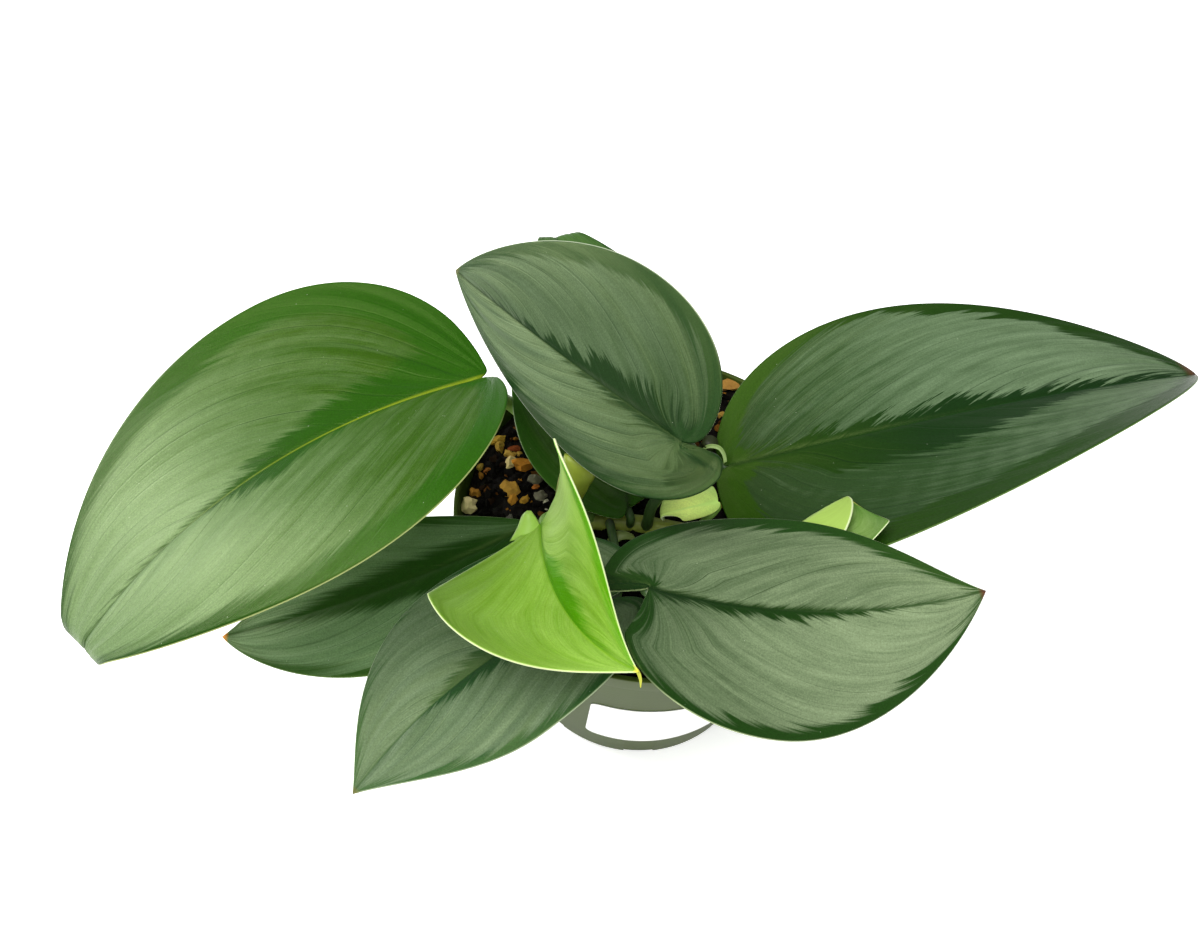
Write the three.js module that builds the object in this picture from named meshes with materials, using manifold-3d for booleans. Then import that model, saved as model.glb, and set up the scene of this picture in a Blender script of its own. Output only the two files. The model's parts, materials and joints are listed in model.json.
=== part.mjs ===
// Potted moonlight scindapsus: a round nursery pot filled with bark and soil, a creeping stem and
// ten leaves on their stalks. Millimetres, +Z up, origin at the centre of the pot's base.
import * as THREE from "three";
import { mergeVertices } from "three/addons/utils/BufferGeometryUtils.js";
import Module from "manifold-3d";

const wasm = await Module();
wasm.setup();

const DEGREE = Math.PI / 180;

// Pot: a tapered thin-walled pot with a rim band and drain slots round its foot
const POT_HEIGHT = 82.5;
const RIM_RADIUS = 52;
const BASE_RADIUS = 36.5;
const WALL = 1.3;
const RIM_BAND_HEIGHT = 9;
const RIM_STEP = 1.1;
const FOOT_ROUND = 1.5;
const POT_SIDES = 48;
const DRAIN_SLOTS = 8;
const DRAIN_WIDTH = 9;
const DRAIN_HEIGHT = 2.6;
const DRAIN_FLOOR_REACH = 5;
const DRAIN_FIRST = -87.5;
const SEAT_GAP = 0.35;

// Label: a blank sticker on the front wall
const LABEL_LOW = 17.4;
const LABEL_HIGH = 51.6;
const LABEL_MIDDLE = -75.6;
const LABEL_HALF_LENGTH = 25;
const LABEL_CORNER = 2;
const LABEL_THICKNESS = 0.4;
const LABEL_COLUMNS = 22;

// Soil: the filling, with bark chips and grit standing out of its top
const SOIL_EDGE_HEIGHT = 79.8;
const SOIL_CROWN = 0.9;
const CHIP_COUNT = 46;
const CHIP_SMALLEST = 1.3;
const CHIP_LARGEST = 2.9;
const CHIP_SEED = 2146;
const CHIP_FIELD_RADIUS = 43;

// Stems and leaf stalks
const STEM_RADIUS = 2.3;
const STEM_SIDES = 12;
const STEM_STEPS = 18;
const STALK_SIDES = 8;
const HOLE_CLEARANCE = 0.42;

// Blades
const BLADE_THICKNESS = 0.9;
const DROOP_POWER = 1.3;
const TIP_BEND_SPREAD = 0.025;
const MIDRIB_STEPS = 80;
const LOBE_PART = 0.12;
const WIDEST_PART = 0.5;
const SMALL_LEAF = 30;
const LINE_CROWDING = 1.3;

// The creeping stem lies on the soil and dives in at both ends; the short one stands behind it
const STEMS = [
  { name: "stem_creeping", path: [[-39, -13, 63], [-35, -12, 75], [-29, -10.5, 80.4], [-16, -7, 81],
    [4, -8, 81], [17, -11, 80.4], [24, -13, 75], [27, -14, 63]] },
  { name: "stem_upright", path: [[14, 20.3, 58], [14.5, 19.3, 70], [15, 18.3, 80.5], [15.4, 17.3, 86.5]] },
];

// Each leaf: where its midrib starts, its length, heading from +X, rise, roll about the midrib, and how
// it sways, droops and twists towards its tip, in degrees. Each half: how far its lobe reaches back and
// out, its greatest width, where along the leaf that lies, how full the tip is, how it folds up from
// the midrib at base and tip and curls across, how round its shoulder is: 1, or less for a straight
// one, and the two handles of its curve round the notch where that isn't the usual one. Left is the
// side on the left looking to the tip.
const LEAVES = [
  { name: "leaf_left", color: 0x2f5a2a, base: [-44, 7.5, 118.5], length: 110, heading: 206, rise: 4, roll: 16.5,
    sway: 25.5, droop: -37, twist: 1, tipBend: { at: 0.965, by: -105 },
    left: { lobe: 4, out: 4, wide: 42.5, belly: 0.37, full: 0.93, fold: 17, tipFold: 3, curl: -27 },
    right: { lobe: 3, out: 3, wide: 44.5, belly: 0.32, full: 0.98, fold: 16, tipFold: -2, curl: 20 },
    stalk: { stem: "stem_creeping", radius: 2, path: [[-43.5, 13, 109], [-42.3, 19.5, 99], [-40.5, 23.2, 93],
      [-37, 22.5, 90], [-28, 10.5, 88.5],
      [-19, -3, 86], [-15.7, -7.1, 82]] } },
  { name: "leaf_top", color: 0x31493a, base: [3.5, -17.5, 129], length: 83.5, heading: 136.5, rise: -5, roll: -40,
    sway: -3.5, droop: -5.5, twist: -7.5,
    left: { lobe: 12, out: 1.7, wide: 17.9, belly: 0.23, full: 0.85, fold: 18.5, tipFold: -6, curl: -25,
      notch: [0, 4.2, -8.9, -8] },
    right: { lobe: 4.7, out: 7, wide: 28, belly: 0.34, full: 0.88, fold: 16, tipFold: 10, curl: -14 },
    stalk: { stem: "stem_creeping", radius: 1.5, path: [[6, -13.5, 119], [3.5, -10.2, 105], [-0.6, -9.8, 94],
      [-1.2, -9.4, 87], [-1.4, -8, 82]] } },
  { name: "leaf_right", color: 0x2c4a33, base: [20.3, 10.4, 85.4], length: 126.2, heading: 4.5, rise: 21, roll: 1.5,
    sway: 10.5, droop: -26, twist: -6.5,
    left: { lobe: 3, out: 3, wide: 39.7, belly: 0.38, full: 1, fold: -3, tipFold: 1.5, curl: 14.5 },
    right: { lobe: 4, out: 4.9, wide: 39.2, belly: 0.22, full: 0.91, fold: -7, tipFold: 29, curl: 16 },
    stalk: { stem: "stem_upright", radius: 1.3, path: [[17.4, 11.9, 84.2], [15.4, 14.8, 83.9], [15.1, 17.9, 82.4]] } },
  { name: "leaf_lower_right", color: 0x2e4a38, base: [-2.5, -44, 112], length: 78, heading: -5.5, rise: -13.5,
    roll: -5, sway: 22, droop: 19, twist: 10,
    left: { lobe: 11, out: -4, wide: 24.5, belly: 0.38, full: 0.7, fold: 4, tipFold: 9, curl: -16,
      notch: [1.9, 2.2, -13.2, -1.9] },
    right: { lobe: 4.2, out: 12.5, wide: 28, belly: 0.36, full: 0.83, fold: 7, tipFold: -25, curl: -17,
      notch: [-0.4, 0.8, 2.1, 9.3] },
    stalk: { stem: "stem_creeping", radius: 1.3, path: [[-1, -37, 107], [8, -22.5, 95], [15.3, -10.6, 80.6]] } },
  { name: "leaf_lower_left", color: 0x253d2a, base: [-30, -14, 89.5], length: 81, heading: 213, rise: -5, roll: -1,
    sway: -24, droop: -11.5, twist: -1,
    left: { lobe: 5, out: 6, wide: 22, belly: 0.42, full: 0.85, fold: 3.5, tipFold: 3, curl: -8 },
    right: { lobe: 0.5, out: 0.5, wide: 19.5, belly: 0.47, full: 0.64, fold: 2, tipFold: 3.5, curl: -1,
      shoulder: 0.35 },
    stalk: { stem: "stem_creeping", radius: 1.2, path: [[-27, -12.5, 87], [-25.2, -10.5, 84.5],
      [-25.2, -9.5, 80.6]] } },
  { name: "leaf_front", color: 0x334f3d, base: [-12, -37.5, 94], length: 70.5, heading: 200.5, rise: -11, roll: 3.5,
    sway: 35, droop: -8.5, twist: -3.5,
    left: { lobe: 9.5, out: 6, wide: 23.5, belly: 0.38, full: 0.77, fold: 13, tipFold: 4.5, curl: -10 },
    right: { lobe: 10.5, out: 5, wide: 24, belly: 0.39, full: 0.67, fold: 11, tipFold: 10.5, curl: -10 },
    stalk: { stem: "stem_creeping", radius: 1.2, path: [[-9, -35, 91], [-9, -22, 88], [-10.5, -12, 86],
      [-11, -7.2, 82]] } },
  { name: "leaf_young_bright", color: 0x6fae2a, base: [-27.3, -21.4, 100.5], length: 54.2, heading: -87, rise: 7,
    roll: 10.5, sway: 50.5, droop: 15, twist: -2.5,
    left: { lobe: 0.5, out: 7.4, wide: 35.3, belly: 0.15, full: 0.56, fold: 53.5, tipFold: 49.5, curl: 44,
      shoulder: 0.3 },
    right: { lobe: 0.5, out: 0.5, wide: 29.4, belly: 0.36, full: 0.39, fold: -16, tipFold: 10.5, curl: 60,
      shoulder: 0.12 },
    stalk: { stem: "stem_creeping", radius: 1.2, path: [[-26.8, -17, 96.5], [-22.5, -10, 89.5], [-20.7, -8, 81]] } },
  { name: "leaf_young_rolled", color: 0xb9d68a, base: [15.6, -8.4, 95], length: 17.6, heading: 193, rise: -4,
    roll: -3.3, sway: 0, droop: -18, twist: 0, tipBend: { at: 0.86, by: -80, spread: 0.09 },
    left: { lobe: 0.5, out: 0.5, wide: 3.6, belly: 0.42, full: -0.5, fold: -22.5, tipFold: -33.5, curl: -59 },
    right: { lobe: 0.5, out: 5.7, wide: 11.2, belly: 0.18, full: 0.94, fold: 1.5, tipFold: -5.5, curl: -82.5 },
    stalk: { stem: "stem_creeping", radius: 1, path: [[15.2, -8.6, 91], [12.5, -9.2, 86.5], [10.5, -9.4, 80.6]] } },
  { name: "leaf_young_folded", color: 0x9cc46a, base: [28, -20.3, 95.6], length: 22.9, heading: 34.5, rise: 19.5,
    roll: -4.6, sway: 0, droop: -25.5, twist: 0,
    left: { lobe: 1, out: 1.5, wide: 12.3, belly: 0.42, full: 1, fold: 174.5, tipFold: 134, curl: 12 },
    right: { lobe: 1.1, out: 1.5, wide: 17.5, belly: 0.9, full: 0.95, fold: -38, tipFold: 10, curl: 44 },
    stalk: { stem: "stem_creeping", radius: 1, path: [[26, -20.5, 93], [23.3, -16.5, 88], [19.3, -11.6, 79.8]] } },
  { name: "leaf_back", color: 0x273f2c, base: [-6.5, -6, 89], length: 106.5, heading: 95.5, rise: 3, roll: 6,
    sway: 19.5, droop: -1, twist: 1.5, tipBend: { at: 0.93, by: -95 },
    left: { lobe: 5, out: 3.5, wide: 28, belly: 0.26, full: 0.8, fold: 12, tipFold: 8, curl: -14 },
    right: { lobe: 1, out: 1, wide: 29.5, belly: 0.43, full: 0.83, fold: 10, tipFold: 5.5, curl: -16, shoulder: 0.5 },
    stalk: { stem: "stem_creeping", radius: 1.2, path: [[-5.7, -8.6, 86.5], [-5.6, -8.6, 84.5], [-5.6, -7.5, 81]] } },
];

// Materials, one for each kind of surface
function finish(color, roughness) {
  return new THREE.MeshStandardMaterial({ color, roughness, metalness: 0 });
}

const POT_FINISH = finish(0x37452f, 0.45);
const LABEL_FINISH = finish(0xf4f4f1, 0.6);
const SOIL_FINISH = finish(0x2b2018, 0.95);
const STEM_FINISH = finish(0x7d8446, 0.5);
const LEAF_ROUGHNESS = 0.45;

// A closed geometry becomes a solid: only positions are kept and shared corners merged
function solidFrom(geometry) {
  const bare = geometry.clone();
  for (const name of Object.keys(bare.attributes)) {
    if (name !== "position") bare.deleteAttribute(name);
  }
  const merged = mergeVertices(bare, 1e-4);
  const corners = Array.from(merged.index.array);
  const kept = [];
  for (let i = 0; i < corners.length; i += 3) {
    const [a, b, c] = corners.slice(i, i + 3);
    if (a !== b && b !== c && a !== c) kept.push(a, b, c);
  }
  return new wasm.Manifold(new wasm.Mesh({
    numProp: 3,
    vertProperties: new Float32Array(merged.attributes.position.array),
    triVerts: new Uint32Array(kept),
  }));
}

// The solid's triangles as a geometry again
function geometryFrom(solid) {
  const mesh = solid.getMesh();
  const geometry = new THREE.BufferGeometry();
  geometry.setAttribute("position", new THREE.BufferAttribute(new Float32Array(mesh.vertProperties), 3));
  geometry.setIndex(new THREE.BufferAttribute(new Uint32Array(mesh.triVerts), 1));
  geometry.computeVertexNormals();
  return geometry;
}

// The largest body of a solid, without scraps that a cut leaves loose
function largestBody(solid) {
  const bodies = solid.decompose();
  bodies.sort((a, b) => b.volume() - a.volume());
  return bodies[0];
}

function vector([x, y, z]) {
  return new THREE.Vector3(x, y, z);
}

// A round rod along a smooth path through the points
function rod(points, radius, sides, steps) {
  const curve = new THREE.CatmullRomCurve3(points.map(vector), false, "centripetal");
  const section = new THREE.Shape();
  for (let i = 0; i < sides; i += 1) {
    const angle = 2 * Math.PI * i / sides;
    const x = radius * Math.cos(angle);
    const y = radius * Math.sin(angle);
    if (i === 0) section.moveTo(x, y);
    else section.lineTo(x, y);
  }
  section.closePath();
  return solidFrom(new THREE.ExtrudeGeometry(section, { steps, extrudePath: curve, bevelEnabled: false }));
}

// The same path, longer at both ends by the clearance
function lengthened(path) {
  const points = path.map(vector);
  for (const [end, next] of [[0, 1], [points.length - 1, points.length - 2]]) {
    const outward = points[end].clone().sub(points[next]).setLength(HOLE_CLEARANCE);
    points[end].add(outward);
  }
  return points.map((point) => point.toArray());
}

// A ring or disc of revolution about +Z from [radius, height] corners
function turned(corners, sides) {
  const profile = corners.map(([radius, height]) => new THREE.Vector2(radius, height));
  const geometry = new THREE.LatheGeometry(profile, sides);
  geometry.rotateX(Math.PI / 2);
  return solidFrom(geometry);
}

// Pot wall: the outside radius under the rim band grows evenly from foot to band
const BAND_FOOT = POT_HEIGHT - RIM_BAND_HEIGHT;

function wallRadius(height) {
  return BASE_RADIUS + (RIM_RADIUS - RIM_STEP - BASE_RADIUS) * height / POT_HEIGHT;
}

function potSolid() {
  const shell = turned([
    [0, 0],
    [BASE_RADIUS - FOOT_ROUND, 0],
    [wallRadius(FOOT_ROUND), FOOT_ROUND],
    [wallRadius(BAND_FOOT), BAND_FOOT],
    [wallRadius(BAND_FOOT) + RIM_STEP, BAND_FOOT + RIM_STEP],
    [RIM_RADIUS, POT_HEIGHT],
    [RIM_RADIUS - WALL, POT_HEIGHT],
    [wallRadius(BAND_FOOT + RIM_STEP) - WALL, BAND_FOOT + RIM_STEP],
    [wallRadius(WALL) - WALL, WALL],
    [0, WALL],
  ], POT_SIDES);
  let pot = shell;
  for (let i = 0; i < DRAIN_SLOTS; i += 1) {
    const slot = new THREE.BoxGeometry(2 * DRAIN_FLOOR_REACH, DRAIN_WIDTH, 2 * DRAIN_HEIGHT);
    slot.translate(BASE_RADIUS, 0, 0);
    slot.rotateZ((DRAIN_FIRST + 360 * i / DRAIN_SLOTS) * DEGREE);
    pot = pot.subtract(solidFrom(slot));
  }
  return pot;
}

// Label: columns of four corners wrapped round the wall, shorter near its rounded ends
function labelSolid() {
  const positions = [];
  for (let i = 0; i <= LABEL_COLUMNS; i += 1) {
    const share = -Math.cos(Math.PI * i / LABEL_COLUMNS);
    const toEnd = LABEL_HALF_LENGTH * (1 - Math.abs(share));
    const inside = Math.max(LABEL_CORNER - toEnd, 0);
    const cut = (LABEL_CORNER - Math.sqrt(Math.max(LABEL_CORNER ** 2 - inside ** 2, 0))) * 0.98;
    for (const [height, lift] of [[LABEL_LOW + cut, 0], [LABEL_HIGH - cut, 0], [LABEL_HIGH - cut, 1],
      [LABEL_LOW + cut, 1]]) {
      const radius = wallRadius(height) + SEAT_GAP + lift * LABEL_THICKNESS;
      const angle = LABEL_MIDDLE * DEGREE + LABEL_HALF_LENGTH * share / wallRadius(height);
      positions.push(radius * Math.cos(angle), radius * Math.sin(angle), height);
    }
  }
  const faces = [[0, 1, 2], [0, 2, 3]];
  for (let i = 0; i < LABEL_COLUMNS; i += 1) {
    for (let side = 0; side < 4; side += 1) {
      const a = 4 * i + side;
      const b = 4 * i + (side + 1) % 4;
      faces.push([a, a + 4, b + 4], [a, b + 4, b]);
    }
  }
  const end = 4 * LABEL_COLUMNS;
  faces.push([end, end + 2, end + 1], [end, end + 3, end + 2]);
  return closedSolid(positions, faces.flat());
}

// A closed solid from loose triangles, turned outside out if they face inwards
function closedSolid(positions, corners) {
  let volume = 0;
  const at = (i) => vector(positions.slice(3 * i, 3 * i + 3));
  for (let i = 0; i < corners.length; i += 3) {
    volume += at(corners[i]).dot(at(corners[i + 1]).cross(at(corners[i + 2])));
  }
  if (volume < 0) corners.reverse();
  const geometry = new THREE.BufferGeometry();
  geometry.setAttribute("position", new THREE.Float32BufferAttribute(positions, 3));
  geometry.setIndex(corners);
  return solidFrom(geometry);
}

// Seeded random numbers from 0 to 1
function seeded(seed) {
  let state = seed;
  return () => {
    state = (state * 1664525 + 1013904223) % 4294967296;
    return state / 4294967296;
  };
}

function soilHeight(radius) {
  const share = radius / wallRadius(SOIL_EDGE_HEIGHT);
  return SOIL_EDGE_HEIGHT + SOIL_CROWN * (1 - share * share);
}

// Soil: a tapered plug with chips sunk in its top and plain holes where the stems stand
function soilSolid(holes) {
  const inside = (height) => wallRadius(height) - WALL - SEAT_GAP;
  const floor = WALL + SEAT_GAP;
  const steps = [1, 0.66, 0.33, 0].map((share) => share * inside(SOIL_EDGE_HEIGHT));
  let soil = turned([
    [0, floor],
    [inside(floor), floor],
    ...steps.map((radius) => [radius, soilHeight(radius)]),
  ], POT_SIDES);
  const random = seeded(CHIP_SEED);
  for (let i = 0; i < CHIP_COUNT; i += 1) {
    const size = CHIP_SMALLEST + (CHIP_LARGEST - CHIP_SMALLEST) * random() ** 2;
    const chip = new THREE.IcosahedronGeometry(size, 0);
    chip.scale(1 + 0.4 * random(), 0.75 + 0.3 * random(), 0.6 + 0.3 * random());
    chip.rotateX(Math.PI * random());
    chip.rotateZ(Math.PI * random());
    const radius = CHIP_FIELD_RADIUS * Math.sqrt((i + 0.5) / CHIP_COUNT);
    const angle = i * Math.PI * (3 - Math.sqrt(5)) + 0.5 * random();
    chip.translate(radius * Math.cos(angle), radius * Math.sin(angle), soilHeight(radius) - 0.15 * size);
    soil = soil.add(solidFrom(chip));
  }
  for (const hole of holes) soil = soil.subtract(hole);
  return largestBody(soil);
}

// The frame of the blade at a share of its length: its columns are along, to the left and up
function bladeFrame(leaf, share) {
  const along = Math.max(share, 0);
  let bend = leaf.droop * along ** DROOP_POWER;
  if (leaf.tipBend) {
    const spread = leaf.tipBend.spread ?? TIP_BEND_SPREAD;
    const part = (along - leaf.tipBend.at + spread) / (2 * spread);
    bend += leaf.tipBend.by * THREE.MathUtils.smoothstep(part, 0, 1);
  }
  const turns = [
    ["z", leaf.heading], ["y", -leaf.rise], ["x", leaf.roll],
    ["z", leaf.sway * along], ["y", -bend], ["x", leaf.twist * along],
  ];
  const frame = new THREE.Matrix4();
  for (const [axis, degrees] of turns) {
    const turn = new THREE.Matrix4()[`makeRotation${axis.toUpperCase()}`](degrees * DEGREE);
    frame.multiply(turn);
  }
  const columns = [new THREE.Vector3(), new THREE.Vector3(), new THREE.Vector3()];
  frame.extractBasis(...columns);
  return columns;
}

// The midrib: the frames' along-directions added up from the base
function midribPoints(leaf) {
  const points = [vector(leaf.base)];
  const step = leaf.length / MIDRIB_STEPS;
  for (let i = 0; i < MIDRIB_STEPS; i += 1) {
    const [start] = bladeFrame(leaf, i / MIDRIB_STEPS);
    const [end] = bladeFrame(leaf, (i + 1) / MIDRIB_STEPS);
    points.push(points[i].clone().addScaledVector(start.add(end), step / 2));
  }
  return points;
}

// The flat margin of a half, [along, out], from the notch round the lobe and the belly to the tip
function flatMargin(leaf, half, t) {
  const { lobe, out, wide, full, shoulder = 1 } = half;
  const { notch = [-0.6 * lobe, 0.12 * out, -lobe, 0.45 * out] } = half;
  const belly = half.belly * leaf.length;
  const end = leaf.length;
  const mix = THREE.MathUtils.lerp;
  const reach = belly + lobe;
  const rise = wide - out;
  const pieces = [
    [LOBE_PART, [0, 0], notch.slice(0, 2), notch.slice(2), [-lobe, out]],
    [WIDEST_PART, [-lobe, out], [-lobe + mix(1 / 3, 0, shoulder) * reach, out + mix(1 / 3, 0.55, shoulder) * rise],
      [-lobe + mix(2 / 3, 0.4, shoulder) * reach, out + mix(2 / 3, 1, shoulder) * rise], [belly, wide]],
    [1, [belly, wide], [belly + 0.5 * (end - belly), wide], [end - (1 - full) * (end - belly) * 0.75, 0.3 * wide],
      [end, 0]],
  ];
  const order = pieces.findIndex(([last]) => t <= last);
  const first = order > 0 ? pieces[order - 1][0] : 0;
  const [last, ...handles] = pieces[order];
  const corners = handles.map(([x, y]) => new THREE.Vector2(x, y));
  return new THREE.CubicBezierCurve(...corners).getPoint((t - first) / (last - first));
}

// A point of the flat blade in space, with its outward normal: it leaves the midrib at the fold angle
// and turns evenly by the curl on its way out
function bladePoint(leaf, midrib, half, side, x, y) {
  const share = THREE.MathUtils.clamp(x / leaf.length, 0, 1);
  const place = share * MIDRIB_STEPS;
  const low = Math.min(Math.floor(place), MIDRIB_STEPS - 1);
  const [along, across, up] = bladeFrame(leaf, share);
  const fold = (half.fold + (half.tipFold - half.fold) * share) * DEGREE;
  const curl = half.curl * DEGREE / half.wide;
  const angle = fold + curl * y;
  const point = midrib[low].clone().lerp(midrib[low + 1], place - low);
  point.addScaledVector(along, x - share * leaf.length);
  point.addScaledVector(across, side * (Math.sin(angle) - Math.sin(fold)) / curl);
  point.addScaledVector(up, (Math.cos(fold) - Math.cos(angle)) / curl);
  const normal = up.clone().multiplyScalar(Math.cos(angle)).addScaledVector(across, -side * Math.sin(angle));
  return { point, normal: y === 0 ? up : normal };
}

// A blade: both faces on one grid, split alike, joined round the margin. Each line of the grid follows
// a side vein from the midrib out and forwards to the margin.
function bladeSolid(leaf) {
  const midrib = midribPoints(leaf);
  const small = leaf.length < SMALL_LEAF;
  const lines = small ? 12 : 18;
  const across = 3;
  const positions = [];
  const corners = [];
  for (const [side, half] of [[1, leaf.left], [-1, leaf.right]]) {
    const first = positions.length / 3;
    for (let i = 0; i <= lines; i += 1) {
      const t = (i / lines) ** LINE_CROWDING;
      const rooted = Math.max((t - LOBE_PART) / (1 - LOBE_PART), 0);
      const start = leaf.length * rooted * rooted;
      const margin = flatMargin(leaf, half, t);
      for (let j = 0; j <= across; j += 1) {
        const out = j / across;
        const x = start + (margin.x - start) * out * (0.6 + 0.4 * out);
        const { point, normal } = bladePoint(leaf, midrib, half, side, x, margin.y * out);
        for (const face of [0.5, -0.5]) {
          const corner = point.clone().addScaledVector(normal, face * BLADE_THICKNESS);
          positions.push(corner.x, corner.y, corner.z);
        }
      }
    }
    const index = (i, j, face) => first + 2 * (i * (across + 1) + j) + face;
    const triangle = (a, b, c) => (side > 0 ? corners.push(a, b, c) : corners.push(a, c, b));
    for (let i = 0; i < lines; i += 1) {
      for (let j = 0; j < across; j += 1) {
        triangle(index(i, j, 0), index(i + 1, j, 0), index(i + 1, j + 1, 0));
        triangle(index(i, j, 0), index(i + 1, j + 1, 0), index(i, j + 1, 0));
        triangle(index(i, j, 1), index(i + 1, j + 1, 1), index(i + 1, j, 1));
        triangle(index(i, j, 1), index(i, j + 1, 1), index(i + 1, j + 1, 1));
      }
      triangle(index(i, across, 0), index(i + 1, across, 0), index(i + 1, across, 1));
      triangle(index(i, across, 0), index(i + 1, across, 1), index(i, across, 1));
    }
  }
  return closedSolid(positions, corners);
}

// A stalk: a rod that starts under the midrib near the base and ends in its stem
function stalkPath(leaf) {
  const [along, , up] = bladeFrame(leaf, 0);
  const under = 0.35 * BLADE_THICKNESS + 0.5 * leaf.stalk.radius;
  const start = vector(leaf.base).addScaledVector(along, 0.06 * leaf.length).addScaledVector(up, -under);
  const root = vector(leaf.base).addScaledVector(up, -under);
  return [start.toArray(), root.toArray(), ...leaf.stalk.path];
}

function leafSolid(leaf, grownStems) {
  const stalk = rod(stalkPath(leaf), leaf.stalk.radius, STALK_SIDES, 12);
  const whole = bladeSolid(leaf).add(stalk).subtract(grownStems.get(leaf.stalk.stem));
  return largestBody(whole);
}

// The plant and its pot
const plant = new THREE.Group();

function place(name, solid, material) {
  const mesh = new THREE.Mesh(geometryFrom(solid), material);
  mesh.name = name;
  plant.add(mesh);
}

const grownStems = new Map();
for (const stem of STEMS) {
  place(stem.name, rod(stem.path, STEM_RADIUS, STEM_SIDES, STEM_STEPS), STEM_FINISH);
  grownStems.set(stem.name, rod(lengthened(stem.path), STEM_RADIUS + HOLE_CLEARANCE, STEM_SIDES, STEM_STEPS));
}
place("pot", potSolid(), POT_FINISH);
place("pot_label", labelSolid(), LABEL_FINISH);
place("soil", soilSolid([...grownStems.values()]), SOIL_FINISH);
for (const leaf of LEAVES) {
  place(leaf.name, leafSolid(leaf, grownStems), finish(leaf.color, LEAF_ROUGHNESS));
}

export default plant;
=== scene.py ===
"""A young moonlight scindapsus in a round nursery pot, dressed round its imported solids.

Lengths are written in millimetres in the pot's frame: +Z up, origin at the centre of the pot's base.
"""
import json
import math

import bpy
import numpy as np
from mathutils import Matrix

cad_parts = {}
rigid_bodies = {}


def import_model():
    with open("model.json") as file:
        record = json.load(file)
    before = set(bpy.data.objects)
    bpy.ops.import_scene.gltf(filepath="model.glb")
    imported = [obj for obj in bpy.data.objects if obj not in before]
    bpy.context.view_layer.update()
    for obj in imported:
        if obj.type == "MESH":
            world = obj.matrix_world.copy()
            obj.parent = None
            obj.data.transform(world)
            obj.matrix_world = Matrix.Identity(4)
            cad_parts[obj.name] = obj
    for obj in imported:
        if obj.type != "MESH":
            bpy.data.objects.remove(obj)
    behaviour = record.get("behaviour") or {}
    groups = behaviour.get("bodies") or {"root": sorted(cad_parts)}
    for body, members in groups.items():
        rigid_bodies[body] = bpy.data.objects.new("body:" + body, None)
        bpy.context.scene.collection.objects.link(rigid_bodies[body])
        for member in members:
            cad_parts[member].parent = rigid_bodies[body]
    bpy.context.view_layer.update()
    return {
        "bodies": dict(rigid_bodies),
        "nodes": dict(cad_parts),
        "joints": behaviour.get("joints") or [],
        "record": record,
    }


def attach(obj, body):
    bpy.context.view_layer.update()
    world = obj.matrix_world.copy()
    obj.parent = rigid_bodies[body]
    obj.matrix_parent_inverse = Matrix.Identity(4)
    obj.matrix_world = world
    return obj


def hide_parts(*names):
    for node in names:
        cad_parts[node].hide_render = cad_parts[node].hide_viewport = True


METRE = 0.001
DEGREE = math.pi / 180

# How a mix of two colours is set, and which of its outputs is the colour
MIX_COLORS = {"out": 2, "data_type": "RGBA"}

# Camera: it looks down at the plant from close in front, rolled a little
CAMERA_PLACE = (-14.0, -152.9, 296.9)
CAMERA_DOWN = 53.0
CAMERA_ROLL = 2.71
CAMERA_LENS = 30.0
CAMERA_SENSOR = 36.0
CAMERA_NEAREST = 0.01

# Lights: name, place, the point it is aimed at, width of its square and watts
LIGHTS = [
    ("key", (-200, -200, 950), (0, 0, 90), 900, 13.5),
    ("window", (-813, 303, 548), (-100, -30, 112), 420, 7.5),
]
WORLD_LOW = 0.6
WORLD_HIGH = 0.3
FLOOR_HALF = 3000.0
FLOOR_DROP = 0.2
FLOOR_GLOW = 0.5

# Pot
POT_HEIGHT = 82.5
RIM_RADIUS = 52.0
BASE_RADIUS = 36.5
POT_WALL = 1.3
RIM_BAND_HEIGHT = 9.0
RIM_STEP = 1.1
RIM_ROUND = 0.5
FOOT_ROUND = 1.5
POT_SIDES = 192
DRAIN_SLOTS = 8
DRAIN_WIDTH = 9.0
DRAIN_HEIGHT = 3.4
DRAIN_REACH = 5.0
DRAIN_FIRST = -87.5
BOX_FACES = [(0, 1, 3), (0, 3, 2), (4, 6, 7), (4, 7, 5), (0, 4, 5), (0, 5, 1), (2, 3, 7), (2, 7, 6),
             (0, 2, 6), (0, 6, 4), (1, 5, 7), (1, 7, 3)]
SHARP_FROM = 40
SEAT_GAP = 0.35

# Label
LABEL_LOW = 17.4
LABEL_HIGH = 51.6
LABEL_MIDDLE = -75.6
LABEL_HALF_LENGTH = 25.0
LABEL_CORNER = 3.0
LABEL_THICKNESS = 0.2
LABEL_GAP = 0.06
LABEL_COLUMNS = 96
LABEL_ROWS = 12

# Soil and what lies in it
SOIL_EDGE = 79.8
SOIL_CROWN = 0.9
SOIL_RINGS = 90
SOIL_SPOKES = 220
SOIL_SEED = 2146
CRUMB_COUNT = 1500
CRUMB_SMALLEST = 0.5
CRUMB_LARGEST = 1.7
CRUMB_SHARP = 24

# Crumb kinds: share of all, colour, how large next to the others, how flat
CRUMB_KINDS = [
    (0.61, "#070503", 1.0, 0.6),
    (0.2, "#1c1006", 0.9, 0.6),
    (0.1, "#4f3010", 0.9, 0.75),
    (0.05, "#84581c", 0.9, 0.75),
    (0.02, "#a8853c", 0.9, 0.8),
    (0.02, "#4e4c44", 0.7, 0.9),
]

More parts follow.
